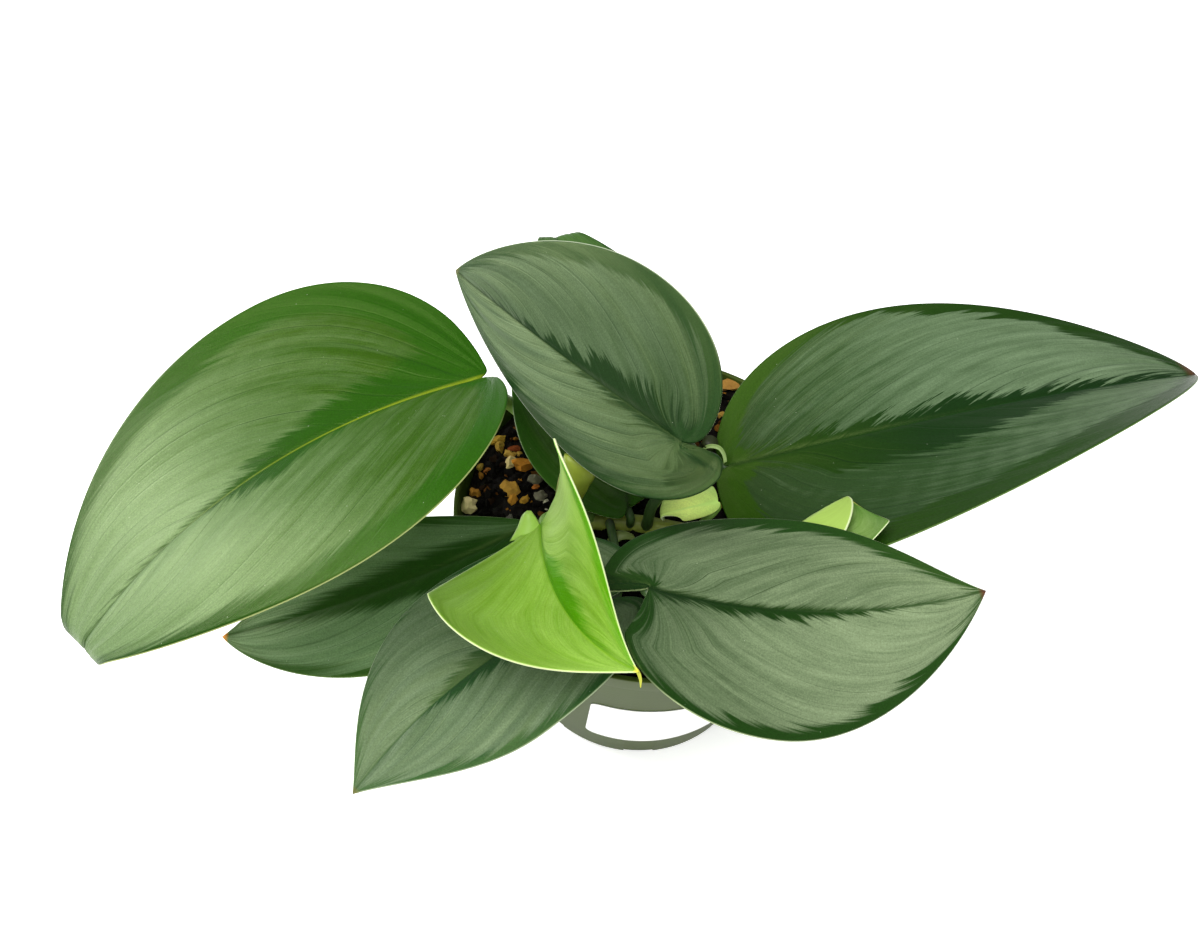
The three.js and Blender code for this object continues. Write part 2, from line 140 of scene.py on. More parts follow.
# Chips that lie in sight: across, depth, size and colour
CHIPS = [
    (-42.6, 19.3, 1.6, "#a5812f"), (-41.8, 17.2, 1.5, "#9c7c34"), (-37.6, 16.1, 1.4, "#7a3c1c"),
    (-38.2, 11.2, 1.9, "#c9b27a"), (-35.2, 10.7, 2.3, "#b8782a"), (-46.5, 9.7, 1.2, "#8f7430"),
    (-44.2, 8.8, 1.2, "#7a4a20"), (-31.3, 6.2, 1.6, "#6e6a58"), (-30.9, 3.9, 0.9, "#a8642a"),
    (-38.0, 2.8, 2.1, "#a87e34"), (-36.6, -0.7, 1.3, "#b07c2c"), (-33.5, -0.5, 1.3, "#9a7428"),
    (-29.3, 0.7, 1.7, "#726e5c"), (-27.5, -1.8, 1.4, "#b0aa94"), (-46.9, 1.0, 1.7, "#9a6a28"),
    (-47.9, -3.1, 2.2, "#d0bc8c"), (23.0, 44.0, 2.2, "#a87c3c"), (14.1, 27.1, 1.9, "#6a3c18"),
]

# Stems: the paths their middles follow, the joints at shares of their length and their colours. Tubes are
# turned by a direction that no path follows
STEM_RADIUS = 2.3
STEM_SIDES = 28
STEM_STEPS = 140
JOINT_RING = 0.28
JOINT_FURROW = 0.12
TUBE_UP = (0.31, 0.17, 0.93)
STEMS = {
    "stem_creeping": {
        "path": [(-39, -13, 63), (-35, -12, 75), (-29, -10.5, 80.6), (-16, -7, 81.6), (4, -8, 81.6),
        (17, -11, 80.6), (24, -13, 75), (27, -14, 63)], "joints": (0.3, 0.42, 0.56, 0.68, 0.79),
        # Its colours are raised partly as painted light, making up for the shade of the leaves over it.
        "colors": ("#626c1e", "#98a448"),
    },
    "stem_upright": {
        "path": [(14, 20.3, 58), (14.5, 19.3, 70), (15, 18.3, 80.5), (15.4, 17.3, 86.5)],
        "joints": (0.55, 0.86), "colors": ("#1c240e", "#343c18"),
    },
}

# Blades: how the midrib bends, the lines of the grid, the sweep and curve of the side veins, the sheet's
# thickness and the relief on it
DROOP_POWER = 1.3
TIP_BEND_SPREAD = 0.025
MIDRIB_STEPS = 80
LOBE_PART = 0.12
WIDEST_PART = 0.5
VEIN_ROWS = 150
ACROSS = 30
LINE_CROWDING = 1.3
VEIN_SWEEP = 0.5
VEIN_CURVE = 0.35
SMALL_LEAF = 30.0
BLADE_HALF = 0.3
EDGE_ROUND = 0.45
EDGE_CROWDING = 0.8
LINE_BEND = 0.4
SWELL = 0.13
SWELL_SMALL = 0.06
SWELL_LENGTH = 16
MOTTLE_LENGTH = 9
PATCHY = 0.08
RIB_GROOVE = 0.25
RIB_RIDGE = 0.9
RIB_SMALL = 0.55
HALVES_APART = 300
FIELDS = ("vein", "zone", "look", "place")
VEIN_SPACING = 11.0
LEAF_INDEX = 1.32
PLASTIC_TINT = (1.0, 1.0, 0.45, 1.0)
WAX_TINT = (0.8, 1.0, 0.35, 1.0)

# Leaves: where the midrib starts, length, heading from +X, rise, roll about the midrib, and how the blade
# sways, droops and twists towards its tip. A half: how far its lobe reaches back and out, its greatest
# width and where along the leaf that lies, how full the tip is, how it folds up from the midrib at base
# and tip and curls across, how round its shoulder is, and the two handles of its curve round the notch
# where that isn't the usual one. "core" and "rim" are the green parts along the midrib, as a share of
# the way out, and along the margin, in millimetres, each at shares of the length. "fresh" is how bright
# their green is, "tone" how light the silver is, "patchy" how much that varies, "edge" how soft its
# border is and "teeth" how long its feathers along the midrib are, in millimetres. A half may have its
# own tone and teeth. "tip_bend" is where along the leaf the tip bends and by how much, over "tip_spread".
NO_GREEN = ((0, -0.5), (1, -0.5))
NO_RIM = ((0, -4), (1, -4))
LEAVES = {
    "leaf_left": {
        "base": (-44, 7.5, 118.5), "length": 110, "heading": 206, "rise": 4, "roll": 16.5, "sway": 25.5,
        "droop": -37, "twist": 1, "tip_bend": (0.965, -105),
        "left": {"lobe": 4, "out": 4, "wide": 42.5, "belly": 0.37, "full": 0.93, "fold": 17,
            "tip_fold": 3, "curl": -27, "core": ((0, 0.12), (0.2, 0.04), (0.36, 0.06), (0.48, 0.16),
            (0.58, 0.08), (0.68, -0.05), (1, -0.1)), "rim": ((0, 6), (0.3, 7), (0.7, 4), (1, 0))},
        "right": {"lobe": 3, "out": 3, "wide": 44.5, "belly": 0.32, "full": 0.98, "fold": 16,
            "tip_fold": -2, "curl": 20, "core": ((0, 0.9), (0.08, 0.56), (0.2, 0.28), (0.35, 0.16),
            (0.5, 0.1), (0.62, 0), (0.78, 0.04), (1, -0.1)), "rim": ((0, 12), (0.15, 10), (0.3, 8),
            (0.5, 6.5), (0.75, 3), (1, 1))},
        # For leaf_left, the silver's tone rising towards the tip is partly painted sheen, on top of its own
        # lighter silver.
        "fresh": ((0, 1), (0.35, 0.8), (0.6, 0.4), (1, 0.1)), "tone": ((0, 0.02), (0.3, 0.15),
        (0.5, 0.48), (0.72, 0.88), (1, 0.92)), "edge": 1.6, "teeth": 3.0,
        "stalk": {"radius": 2.0, "path": [(-43.5, 13, 109), (-42.3, 19.5, 99), (-40.5, 23.2, 93),
            (-37, 22.5, 90), (-28, 10.5, 88.5), (-19, -3, 86), (-15.7, -7.1, 82)]},
    },
    "leaf_top": {
        "base": (3.5, -17.5, 129), "length": 83.5, "heading": 136.5, "rise": -5, "roll": -40,
        "sway": -3.5, "droop": -5.5, "twist": -7.5,
        "left": {"lobe": 12, "out": 1.7, "wide": 17.9, "belly": 0.23, "full": 0.85, "fold": 18.5,
            "tip_fold": -6, "curl": -25, "notch": (0, 4.2, -8.9, -8), "core": ((-0.15, 1.1), (-0.05, 0.8),
            (0.03, 0.12), (0.2, 0.08), (0.35, 0.06), (0.5, -0.02), (1, -0.1)), "rim": ((0, 1.5),
            (0.2, 2.5), (0.7, 2.5), (1, 0.5))},
        "right": {"lobe": 4.7, "out": 7, "wide": 28, "belly": 0.34, "full": 0.88, "fold": 16,
            "tip_fold": 10, "curl": -14, "core": ((0, 0.44), (0.1, 0.34), (0.25, 0.2), (0.45, 0.12),
            (0.6, 0.07), (0.75, 0.02), (1, -0.1)), "rim": ((0, 3.5), (0.3, 4), (0.6, 4.5), (1, 1.5))},
        "fresh": ((0, 0.1), (1, 0.15)), "tone": ((-0.14, 0), (0, 0.1), (0.25, 0.4), (0.5, 0.56),
        (1, 0.52)), "edge": 0.8, "teeth": 3.0,
        "stalk": {"radius": 1.5, "path": [(6, -13.5, 119), (3.5, -10.2, 105), (-0.6, -9.8, 94),
            (-1.2, -9.4, 87), (-1.4, -8, 82)]},
    },
    "leaf_right": {
        "base": (20.3, 10.4, 85.4), "length": 126.2, "heading": 4.5, "rise": 21, "roll": 1.5,
        "sway": 10.5, "droop": -26, "twist": -6.5,
        "left": {"lobe": 3, "out": 3, "wide": 39.7, "belly": 0.38, "full": 1, "fold": -3, "tip_fold": 1.5,
            "curl": 14.5, "core": ((0, 0.4), (0.12, 0.16), (0.3, 0.1), (0.5, 0.12), (0.7, 0.09),
            (0.85, 0.08), (1, 0.2)), "rim": ((0, 7), (0.3, 2.5), (0.6, 3.5), (0.8, 5), (1, 3))},
        "right": {"lobe": 4, "out": 4.9, "wide": 39.2, "belly": 0.22, "full": 0.91, "fold": -7,
            "tip_fold": 29, "curl": 16, "core": ((0, 0.3), (0.12, 0.22), (0.3, 0.3), (0.45, 0.36),
            (0.6, 0.22), (0.75, 0.06), (1, 0)), "rim": ((0, 8), (0.4, 7), (0.7, 7), (0.9, 4), (1, 2)),
            "tone": ((0, -0.1), (0.3, 0), (0.5, 0.14), (0.75, 0.4), (1, 0.5))},
        "fresh": ((0, 0.6), (0.2, 0.3), (0.4, 0.08), (1, 0.05)), "patchy": 0.07, "tone": ((0, 0.02),
        (0.25, 0.2), (0.5, 0.58), (0.8, 0.72), (1, 0.5)), "edge": 0.5, "teeth": 4.0,
        "stalk": {"radius": 1.3, "path": [(17.4, 11.9, 84.2), (15.4, 14.8, 83.9), (15.1, 17.9, 82.4)]},
    },
    "leaf_lower_right": {
        "base": (-2.5, -44, 112), "length": 78, "heading": -5.5, "rise": -13.5, "roll": -5, "sway": 22,
        "droop": 19, "twist": 10,
        "left": {"lobe": 11, "out": -4, "wide": 24.5, "belly": 0.38, "full": 0.7, "fold": 4,
            "tip_fold": 9, "curl": -16, "notch": (1.9, 2.2, -13.2, -1.9), "core": ((-0.2, 0.3),
            (-0.04, 0.22), (0.06, 0.06), (0.2, 0.03), (0.5, 0.04), (0.8, 0.02), (1, -0.1)),
            "rim": ((0, 2.5), (0.5, 3), (0.8, 2.5), (1, 1)), "tone": ((0, 0.2), (0.2, 0.42), (0.6, 0.56),
            (1, 0.7)), "teeth": 0.9},
        "right": {"lobe": 4.2, "out": 12.5, "wide": 28, "belly": 0.36, "full": 0.83, "fold": 7,
            "tip_fold": -25, "curl": -17, "notch": (-0.4, 0.8, 2.1, 9.3), "core": ((-0.1, 0.5),
            (0.04, 0.36), (0.12, 0.12), (0.3, 0.11), (0.5, 0.06), (0.7, 0.03), (1, -0.05)),
            "rim": ((0, 2), (0.3, 2.5), (0.7, 3.2), (1, 1))},
        "fresh": ((0, 0.05), (1, 0.3)), "tone": ((-0.1, -0.1), (0, 0.1), (0.15, 0.35), (0.4, 0.7),
        (0.6, 0.8), (1, 0.84)), "edge": 0.8, "teeth": 1.7,
        "stalk": {"radius": 1.3, "path": [(-1, -37, 107), (8, -22.5, 95), (15.3, -10.6, 80.6)]},
    },
    "leaf_lower_left": {
        "base": (-30, -14, 89.5), "length": 81, "heading": 213, "rise": -5, "roll": -1, "sway": -24,
        "droop": -11.5, "twist": -1,
        "left": {"lobe": 5, "out": 6, "wide": 22, "belly": 0.42, "full": 0.85, "fold": 3.5, "tip_fold": 3,
            "curl": -8, "core": ((0, 0.6), (0.4, 0.25), (0.7, 0.15), (1, 0)), "rim": ((0, 2.5),
            (0.6, 2.5), (1, 1))},
        "right": {"lobe": 0.5, "out": 0.5, "wide": 19.5, "belly": 0.47, "full": 0.64, "fold": 2,
            "tip_fold": 3.5, "curl": -1, "shoulder": 0.35, "core": ((0, 0.45), (0.3, 0.35), (0.7, 0.2),
            (1, 0)), "rim": ((0, 2), (0.6, 3), (1, 1))},
        "fresh": ((0, 0.1), (1, 0.25)), "tone": ((0, 0.2), (0.5, 0.6), (1, 0.8)), "edge": 1.8,
        "teeth": 1.6,
        "stalk": {"radius": 1.2, "path": [(-27, -12.5, 87), (-25.2, -10.5, 84.5), (-25.2, -9.5, 80.6)]},
    },
    "leaf_front": {
        "base": (-12, -37.5, 94), "length": 70.5, "heading": 200.5, "rise": -11, "roll": 3.5, "sway": 35,
        "droop": -8.5, "twist": -3.5,
        "left": {"lobe": 9.5, "out": 6, "wide": 23.5, "belly": 0.38, "full": 0.77, "fold": 13,
            "tip_fold": 4.5, "curl": -10, "core": ((0, 0.12), (0.3, 0.15), (0.5, 0.14), (0.62, 0.08),
            (0.75, -0.1), (1, -0.2)), "rim": ((0, 2.5), (0.5, 2.5), (1, 0.8))},
        "right": {"lobe": 10.5, "out": 5, "wide": 24, "belly": 0.39, "full": 0.67, "fold": 11,
            "tip_fold": 10.5, "curl": -10, "core": ((0, 0.4), (0.3, 0.16), (0.55, 0.1), (0.7, -0.05),
            (1, -0.2)), "rim": ((0, 2), (0.5, 1.5), (1, 0.5))},
        "fresh": ((0, 0.1), (1, 0.3)), "tone": ((0, 0.4), (0.5, 0.5), (1, 0.6)), "edge": 1.1,
        "teeth": 2.2,
        "stalk": {"radius": 1.2, "path": [(-9, -35, 91), (-9, -22, 88), (-10.5, -12, 86),
            (-11, -7.2, 82)]},
    },
    "leaf_young_bright": {
        "base": (-27.3, -21.4, 100.5), "length": 54.2, "heading": -87, "rise": 7, "roll": 10.5,
        "sway": 50.5, "droop": 15, "twist": -2.5,
        "left": {"lobe": 0.5, "out": 7.4, "wide": 35.3, "belly": 0.15, "full": 0.56, "fold": 53.5,
            "tip_fold": 49.5, "curl": 44, "shoulder": 0.3, "core": ((0, 0), (0.25, 0.2), (0.6, 0.25),
            (0.85, 0), (1, -0.5)), "rim": ((0, 0), (0.15, 2), (0.4, 3.5), (0.8, 2), (1, 0)),
            "tone": ((0, 1), (0.2, 0.95), (0.4, 0.45), (0.7, 0.2), (1, 0.5))},
        "right": {"lobe": 0.5, "out": 0.5, "wide": 29.4, "belly": 0.36, "full": 0.39, "fold": -16,
            "tip_fold": 10.5, "curl": 60, "shoulder": 0.12, "core": NO_GREEN, "rim": NO_RIM},
        "fresh": ((0, 0.3), (1, 0.3)), "tone": ((0, 0.5), (0.3, 0.35), (0.7, 0.35), (1, 0.6)),
        "edge": 2.0, "teeth": 2.0,
        "stalk": {"radius": 1.2, "path": [(-26.8, -17, 96.5), (-22.5, -10, 89.5), (-20.7, -8, 81)]},
    },
    "leaf_young_rolled": {
        "base": (15.6, -8.4, 95), "length": 17.6, "heading": 193, "rise": -4, "roll": -3.3, "sway": 0,
        "droop": -18, "twist": 0, "tip_bend": (0.83, -98), "tip_spread": 0.09,
        "left": {"lobe": 0.5, "out": 0.5, "wide": 3.6, "belly": 0.42, "full": -0.5, "fold": -22.5,
            "tip_fold": -33.5, "curl": -59, "core": NO_GREEN, "rim": NO_RIM},
        "right": {"lobe": 0.5, "out": 5.7, "wide": 11.2, "belly": 0.18, "full": 0.94, "fold": 1.5,
            "tip_fold": -5.5, "curl": -82.5, "core": NO_GREEN, "rim": NO_RIM},
        # leaf_young_rolled's tone, highest halfway along and low at both ends, is a painted highlight.
        "fresh": ((0, 0), (1, 0.6)), "tone": ((0, 0), (0.45, 0.95), (0.75, 0.4), (1, 0)), "edge": 1.0,
        "teeth": 1.0,
        "stalk": {"radius": 1.0, "path": [(15.2, -8.6, 91), (12.5, -9.2, 86.5), (10.5, -9.4, 80.6)]},
    },
    "leaf_young_folded": {
        "base": (28, -20.3, 95.6), "length": 22.9, "heading": 34.5, "rise": 19.5, "roll": -4.6, "sway": 0,
        "droop": -25.5, "twist": 0,
        "left": {"lobe": 1, "out": 1.5, "wide": 12.3, "belly": 0.42, "full": 1, "fold": 174.5,
            "tip_fold": 134, "curl": 12, "core": NO_GREEN, "rim": NO_RIM},
        "right": {"lobe": 1.1, "out": 1.5, "wide": 17.5, "belly": 0.9, "full": 0.95, "fold": -38,
            "tip_fold": 10, "curl": 44, "core": ((0, 0.5), (1, 0.5)), "rim": ((0, 0.8), (1, 0.8))},
        "fresh": ((0, 0.2), (1, 0.2)), "tone": ((0, 0.1), (1, 0.3)), "edge": 2.5, "teeth": 1.0,
        "stalk": {"radius": 1.0, "path": [(26, -20.5, 93), (23.3, -16.5, 88), (19.3, -11.6, 79.8)]},
    },
    "leaf_back": {
        "base": (-6.5, -6, 89), "length": 106.5, "heading": 95.5, "rise": 3, "roll": 6, "sway": 19.5,
        "droop": -1, "twist": 1.5, "tip_bend": (0.93, -95),
        "left": {"lobe": 5, "out": 3.5, "wide": 28, "belly": 0.26, "full": 0.8, "fold": 12, "tip_fold": 8,
            "curl": -14, "core": ((0, 0.4), (0.5, 0.2), (1, -0.1)), "rim": ((0, 4), (0.7, 3), (1, 0))},
        "right": {"lobe": 1, "out": 1, "wide": 29.5, "belly": 0.43, "full": 0.83, "fold": 10,
            "tip_fold": 5.5, "curl": -16, "shoulder": 0.5, "core": ((0, 0.4), (0.5, 0.2), (1, -0.1)),
            "rim": ((0, 4), (0.7, 3), (1, 0))},
        "fresh": ((0, 0.4), (0.6, 0.2), (1, 0.1)), "tone": ((0, 0.1), (0.6, 0.3), (1, 0.6)), "edge": 1.5,
        "teeth": 2.0,
        "stalk": {"radius": 1.2, "path": [(-5.7, -8.6, 86.5), (-5.6, -8.6, 84.5), (-5.6, -7.5, 81)]},
    },
}

# Leaf colours, sRGB: the green along midrib and rim, the same where it is fresh, the silvered tissue
# dark and light, the midrib at base and tip, the underside, the dry tip and the line at the rim
PALETTES = {
    # leaf_left's light silver colour is raised partly as painted sheen, on top of the silver's own colour.
    "leaf_left": ("#082a03", "#1c4602", "#274604", "#62784f", "#758418", "#1e3c08", "#7f9a68", "#61612f",
        "#b3bd78"),
    "leaf_top": ("#081f0c", "#2a4c22", "#263a1f", "#526349", "#0a2409", "#082208", "#7f9a68", "#515128",
        "#b5c2a0"),
    "leaf_right": ("#04200a", "#2a4c04", "#223a1c", "#667a5c", "#0c2c04", "#0e2a10", "#7f9a68", "#452a1a",
        "#5c7a40"),
    "leaf_lower_right": ("#0a2608", "#284f1a", "#34492c", "#82936f", "#08240a", "#274020", "#7f9a68",
        "#5a3324", "#a9b988"),
    # leaf_lower_left's silver colours are raised partly as painted light, making up for the shade of the
    # leaves over it.
    "leaf_lower_left": ("#0d2f08", "#2c5418", "#3c5832", "#6c8660", "#0d2e03", "#233f1c", "#7f9a68",
        "#d4811b", "#5f7a3c"),
    "leaf_front": ("#12301a", "#3c6434", "#415636", "#718268", "#1d3b15", "#2e4a2c", "#7f9a68", "#686839",
        "#a3b18f"),
    "leaf_young_bright": ("#3f7c00", "#528e06", "#618816", "#98b858", "#568410", "#6c9420", "#7f9a32",
        "#e6e24a", "#cfe09c"),
    # leaf_young_rolled's light colour is the lime of its painted highlight.
    "leaf_young_rolled": ("#c0e070", "#d0f084", "#aed06c", "#eaff8c", "#bce278", "#d8f888", "#cce08c",
        "#f0e440", "#ecf6cc"),
    "leaf_young_folded": ("#2f5c10", "#4f801e", "#4c7420", "#a4bc78", "#7a9a3a", "#c3b94e", "#a4c458",
        "#e0dc5a", "#e4f0c0"),
    "leaf_back": ("#0a2b05", "#265408", "#2a4c0e", "#4a683b", "#0a2b05", "#16360c", "#7f9a68", "#616133",
        "#4f6838"),
}

# Papery sheaths, a rolled-up margin and a curled tip by the young leaves: pairs of points across, from
# foot to tip, how far they bulge and their colours, dark and light
SHEATHS = {
    "sheath_standing": {
        "rows": [((-22.5, -9.5, 84), (-19.5, -8.5, 84)), ((-24.5, -13, 97), (-18.5, -12.5, 97)),
        ((-24, -13.6, 106), (-16.4, -14.5, 107)), ((-23, -12, 111.5), (-15.2, -14.2, 112.5)),
        ((-22.4, -10.7, 114.5), (-21.6, -10.9, 114.8))], "bulge": 0.9, "colors": ("#6c7c1c", "#8c9a34"),
    },
    "margin_rolled": {
        "rows": [((-34.6, -24.6, 97.6), (-27.6, -23.6, 98.6)), ((-33, -21.8, 99.3), (-27.3, -21.8, 100)),
        ((-31.9, -19.2, 101), (-28.4, -20.2, 101.4)), ((-30.8, -18.4, 101.8), (-29.8, -18.6, 102))],
        "bulge": 1.0, "colors": ("#7ea832", "#a4c85e"),
    },
    "sheath_of_right_stalk": {
        "rows": [((13.2, 15.3, 85.2), (13.6, 16.3, 86)), ((15.3, 15, 86.8), (15.5, 16, 87.4)),
        ((17.5, 14.1, 87.2), (17.9, 15, 87.9)), ((18.6, 12.3, 86.6), (19.4, 12.8, 87.2)),
        ((18.9, 10.8, 85.8), (19.7, 11, 86.3))], "bulge": 0.3, "colors": ("#5c7c34", "#a8c078"),
    },
    "tip_curled": {
        "rows": [((-5.7, -64.3, 116.3), (-5.4, -64.1, 116.3)), ((-5, -65.6, 115.9), (-4.3, -65.4, 116)),
        ((-4.4, -66.8, 115.2), (-3.8, -66.7, 115.3)), ((-4.1, -68.1, 114.4), (-3.9, -68.1, 114.4))],
        "bulge": 0.2, "colors": ("#8c9a26", "#c2be3c"),
    },
    "sheath_on_stem": {
        "rows": [((-11.4, -13.6, 83.4), (-9.2, -16.4, 83.6)), ((-9.2, -11.8, 85), (-8.3, -15, 85)),
        ((-6.7, -11.9, 85.2), (-6.4, -14.4, 85.1)), ((-4.4, -12.5, 83.8), (-3.8, -14.2, 83.8))],
        "bulge": 0.6, "colors": ("#3c4c1c", "#82924e"),
    },
}
SHEATH_STEPS = 40
SHEATH_ACROSS = 16
SHEATH_HALF = 0.25

# Stalks: how much thicker than their radius they are at the knee, in the middle and at the foot, how many
# rings draw the upper end to a point, and their colours, dark and light
STALK_KNEE = 0.12
STALK_WAIST = 0.06
STALK_FOOT = 0.1
STALK_POINT = 10
STALK_STEPS = 60
STALK_COLORS = {
    # The grown leaves' stalks are made dark partly as painted shade, for the shade they stand in under the
    # leaves.
    "grown": ("#1f3412", "#3a5626"),
    "young": ("#4f7a22", "#84a850"),
    "leaf_left": ("#4c6e20", "#7c9c48"),
}


def linear(color):
    """An sRGB hex colour as linear red, green, blue and a full alpha."""
    parts = [int(color[i:i + 2], 16) / 255 for i in (1, 3, 5)]
    return [p / 12.92 if p <= 0.04045 else ((p + 0.055) / 1.055) ** 2.4 for p in parts] + [1.0]


def add_node(tree, kind, inputs=None, out=0, **settings):
    """Adds a shader node, sets its settings, sets or links its inputs, and gives back one output."""
    node = tree.nodes.new(f"ShaderNode{kind}")
    for name, value in settings.items():
        setattr(node, name, value)
    for key, value in (inputs or {}).items():
        if isinstance(value, bpy.types.NodeSocket):
            tree.links.new(value, node.inputs[key])
        else:
            node.inputs[key].default_value = value
    return node.outputs[out] if len(node.outputs) else None


def new_material(name):
    """An empty material and its node tree."""
    material = bpy.data.materials.new(name)
    material.use_nodes = True
    material.node_tree.nodes.clear()
    return material, material.node_tree


def add_object(name, data, columns=None, place=None):
    """A new object in the scene. Columns, if given, turn it, and it stands at a place in millimetres."""
    made = bpy.data.objects.new(name, data)
    bpy.context.scene.collection.objects.link(made)
    if columns is not None:
        matrix = np.eye(4)
        matrix[:3, :3] = np.stack(columns, 1)
        matrix[:3, 3] = np.asarray(place, float) * METRE
        made.matrix_world = Matrix(matrix.tolist())
    return made


def mesh_object(name, points, triangles, materials, looks=None, fields=None):
    """A smooth mesh object from arrays in millimetres, with one material number a triangle and named
    three-number fields on its vertices."""
    mesh = bpy.data.meshes.new(name)
    mesh.vertices.add(len(points))
    mesh.vertices.foreach_set("co", (np.asarray(points, float) * METRE).astype(np.float32).ravel())
    mesh.loops.add(3 * len(triangles))
    mesh.loops.foreach_set("vertex_index", np.asarray(triangles, np.int32).ravel())
    mesh.polygons.add(len(triangles))
    mesh.polygons.foreach_set("loop_start", np.arange(0, 3 * len(triangles), 3, dtype=np.int32))
    if looks is not None:
        mesh.polygons.foreach_set("material_index", np.asarray(looks, np.int32))
    mesh.update(calc_edges=True)
    mesh.validate()
    mesh.shade_smooth()
    for material in materials:
        mesh.materials.append(material)
    for field, values in (fields or {}).items():
        layer = mesh.attributes.new(field, "FLOAT_VECTOR", "POINT")
        layer.data.foreach_set("vector", np.asarray(values, np.float32).ravel())
    return add_object(name, mesh)


def welded(points, triangles, looks, fields):
    """The same surface with points that share a place made one, and triangles that vanish left out."""
    keys = np.round(points / 0.002).astype(np.int64)
    _, first, where = np.unique(keys, axis=0, return_index=True, return_inverse=True)
    corners = where.reshape(-1)[triangles]
    a, b, c = corners.T
    kept = (a != b) & (b != c) & (a != c)
    return points[first], corners[kept], looks[kept], {k: v[first] for k, v in fields.items()}


def closed(points, triangles):
    """A closed surface with its shared points made one and its triangles facing outwards."""
    points, triangles, _, _ = welded(points, triangles, np.zeros(len(triangles), int), {})
    return points, outward(points, triangles)


def grid_triangles(rows, columns, first=0):
    """Two triangles a cell of a grid, facing the way from rows turned towards columns."""
    i, j = np.meshgrid(np.arange(rows - 1), np.arange(columns - 1), indexing="ij")
    a = (first + i * columns + j).ravel()
    b, c, d = a + columns, a + columns + 1, a + 1
    return np.concatenate([np.stack([a, b, c], 1), np.stack([a, c, d], 1)])


def smooth_step(values):
    """0 below 0, 1 above 1, and a smooth rise between."""
    values = np.clip(values, 0, 1)
    return values * values * (3 - 2 * values)


def turns(axis, degrees):
    """Rotation matrices about one axis, one for each angle in the array."""
    angle = np.asarray(degrees, float) * DEGREE
    c, s, o, n = np.cos(angle), np.sin(angle), np.ones_like(angle), np.zeros_like(angle)
    rows = {
        "x": [[o, n, n], [n, c, -s], [n, s, c]],
        "y": [[c, n, s], [n, o, n], [-s, n, c]],
        "z": [[c, -s, n], [s, c, n], [n, n, o]],
    }[axis]
    return np.moveaxis(np.array(rows), (0, 1), (-2, -1))


def blade_frames(leaf, share):
    """The blade's frame at shares of its length. Its columns are along, to the left and up: the heading,
    rise and roll, then the sway, bend and twist that grow towards the tip."""
    share = np.clip(np.asarray(share, float), 0, None)
    bend = leaf["droop"] * share ** DROOP_POWER
    if "tip_bend" in leaf:
        at, by = leaf["tip_bend"]
        spread = leaf.get("tip_spread", TIP_BEND_SPREAD)
        bend = bend + by * smooth_step((share - at + spread) / (2 * spread))
    even = np.ones_like(share)
    frame = turns("z", leaf["heading"] * even) @ turns("y", -leaf["rise"] * even)
    frame = frame @ turns("x", leaf["roll"] * even) @ turns("z", leaf["sway"] * share)
    return frame @ turns("y", -bend) @ turns("x", leaf["twist"] * share)


def midrib(leaf):
    """The midrib's points: the along-directions of the frames added up from the base."""
    along = blade_frames(leaf, np.linspace(0, 1, MIDRIB_STEPS + 1))[:, :, 0]
    steps = (along[1:] + along[:-1]) / 2 * leaf["length"] / MIDRIB_STEPS
    return np.concatenate([[np.zeros(3)], np.cumsum(steps, 0)]) + leaf["base"]


def cubic(handles, t):
    """A cubic curve through its first and last handle."""
    a, b, c, d = np.asarray(handles, float)
    t = t[:, None]
    return (1 - t) ** 3 * a + 3 * (1 - t) ** 2 * t * b + 3 * (1 - t) * t * t * c + t ** 3 * d


def flat_margin(leaf, half, t):
    """The margin of a flat half, along and out, for t from 0 at the notch to 1 at the tip: one cubic
    curve round the lobe, one to the widest place and one to the tip."""
    lobe, out, wide, full = half["lobe"], half["out"], half["wide"], half["full"]
    shoulder = half.get("shoulder", 1)
    notch = half.get("notch", (-0.6 * lobe, 0.12 * out, -lobe, 0.45 * out))
    end = leaf["length"]
    belly = half["belly"] * end
    reach, rise = belly + lobe, wide - out
    lower = (-lobe + (1 - shoulder) / 3 * reach, out + (1 / 3 + (0.55 - 1 / 3) * shoulder) * rise)
    upper = (-lobe + (2 / 3 + (0.4 - 2 / 3) * shoulder) * reach, out + (2 / 3 + shoulder / 3) * rise)
    near_tip = (end - (1 - full) * (end - belly) * 0.75, 0.3 * wide)
    parts = [
        (0, LOBE_PART, [(0, 0), notch[:2], notch[2:], (-lobe, out)]),
        (LOBE_PART, WIDEST_PART, [(-lobe, out), lower, upper, (belly, wide)]),
        (WIDEST_PART, 1, [(belly, wide), (belly + 0.5 * (end - belly), wide), near_tip, (end, 0)]),
    ]
    points = np.zeros((len(t), 2))
    for first, last, handles in parts:
        here = (t >= first) & (t <= last)
        points[here] = cubic(handles, (t[here] - first) / (last - first))
    return points


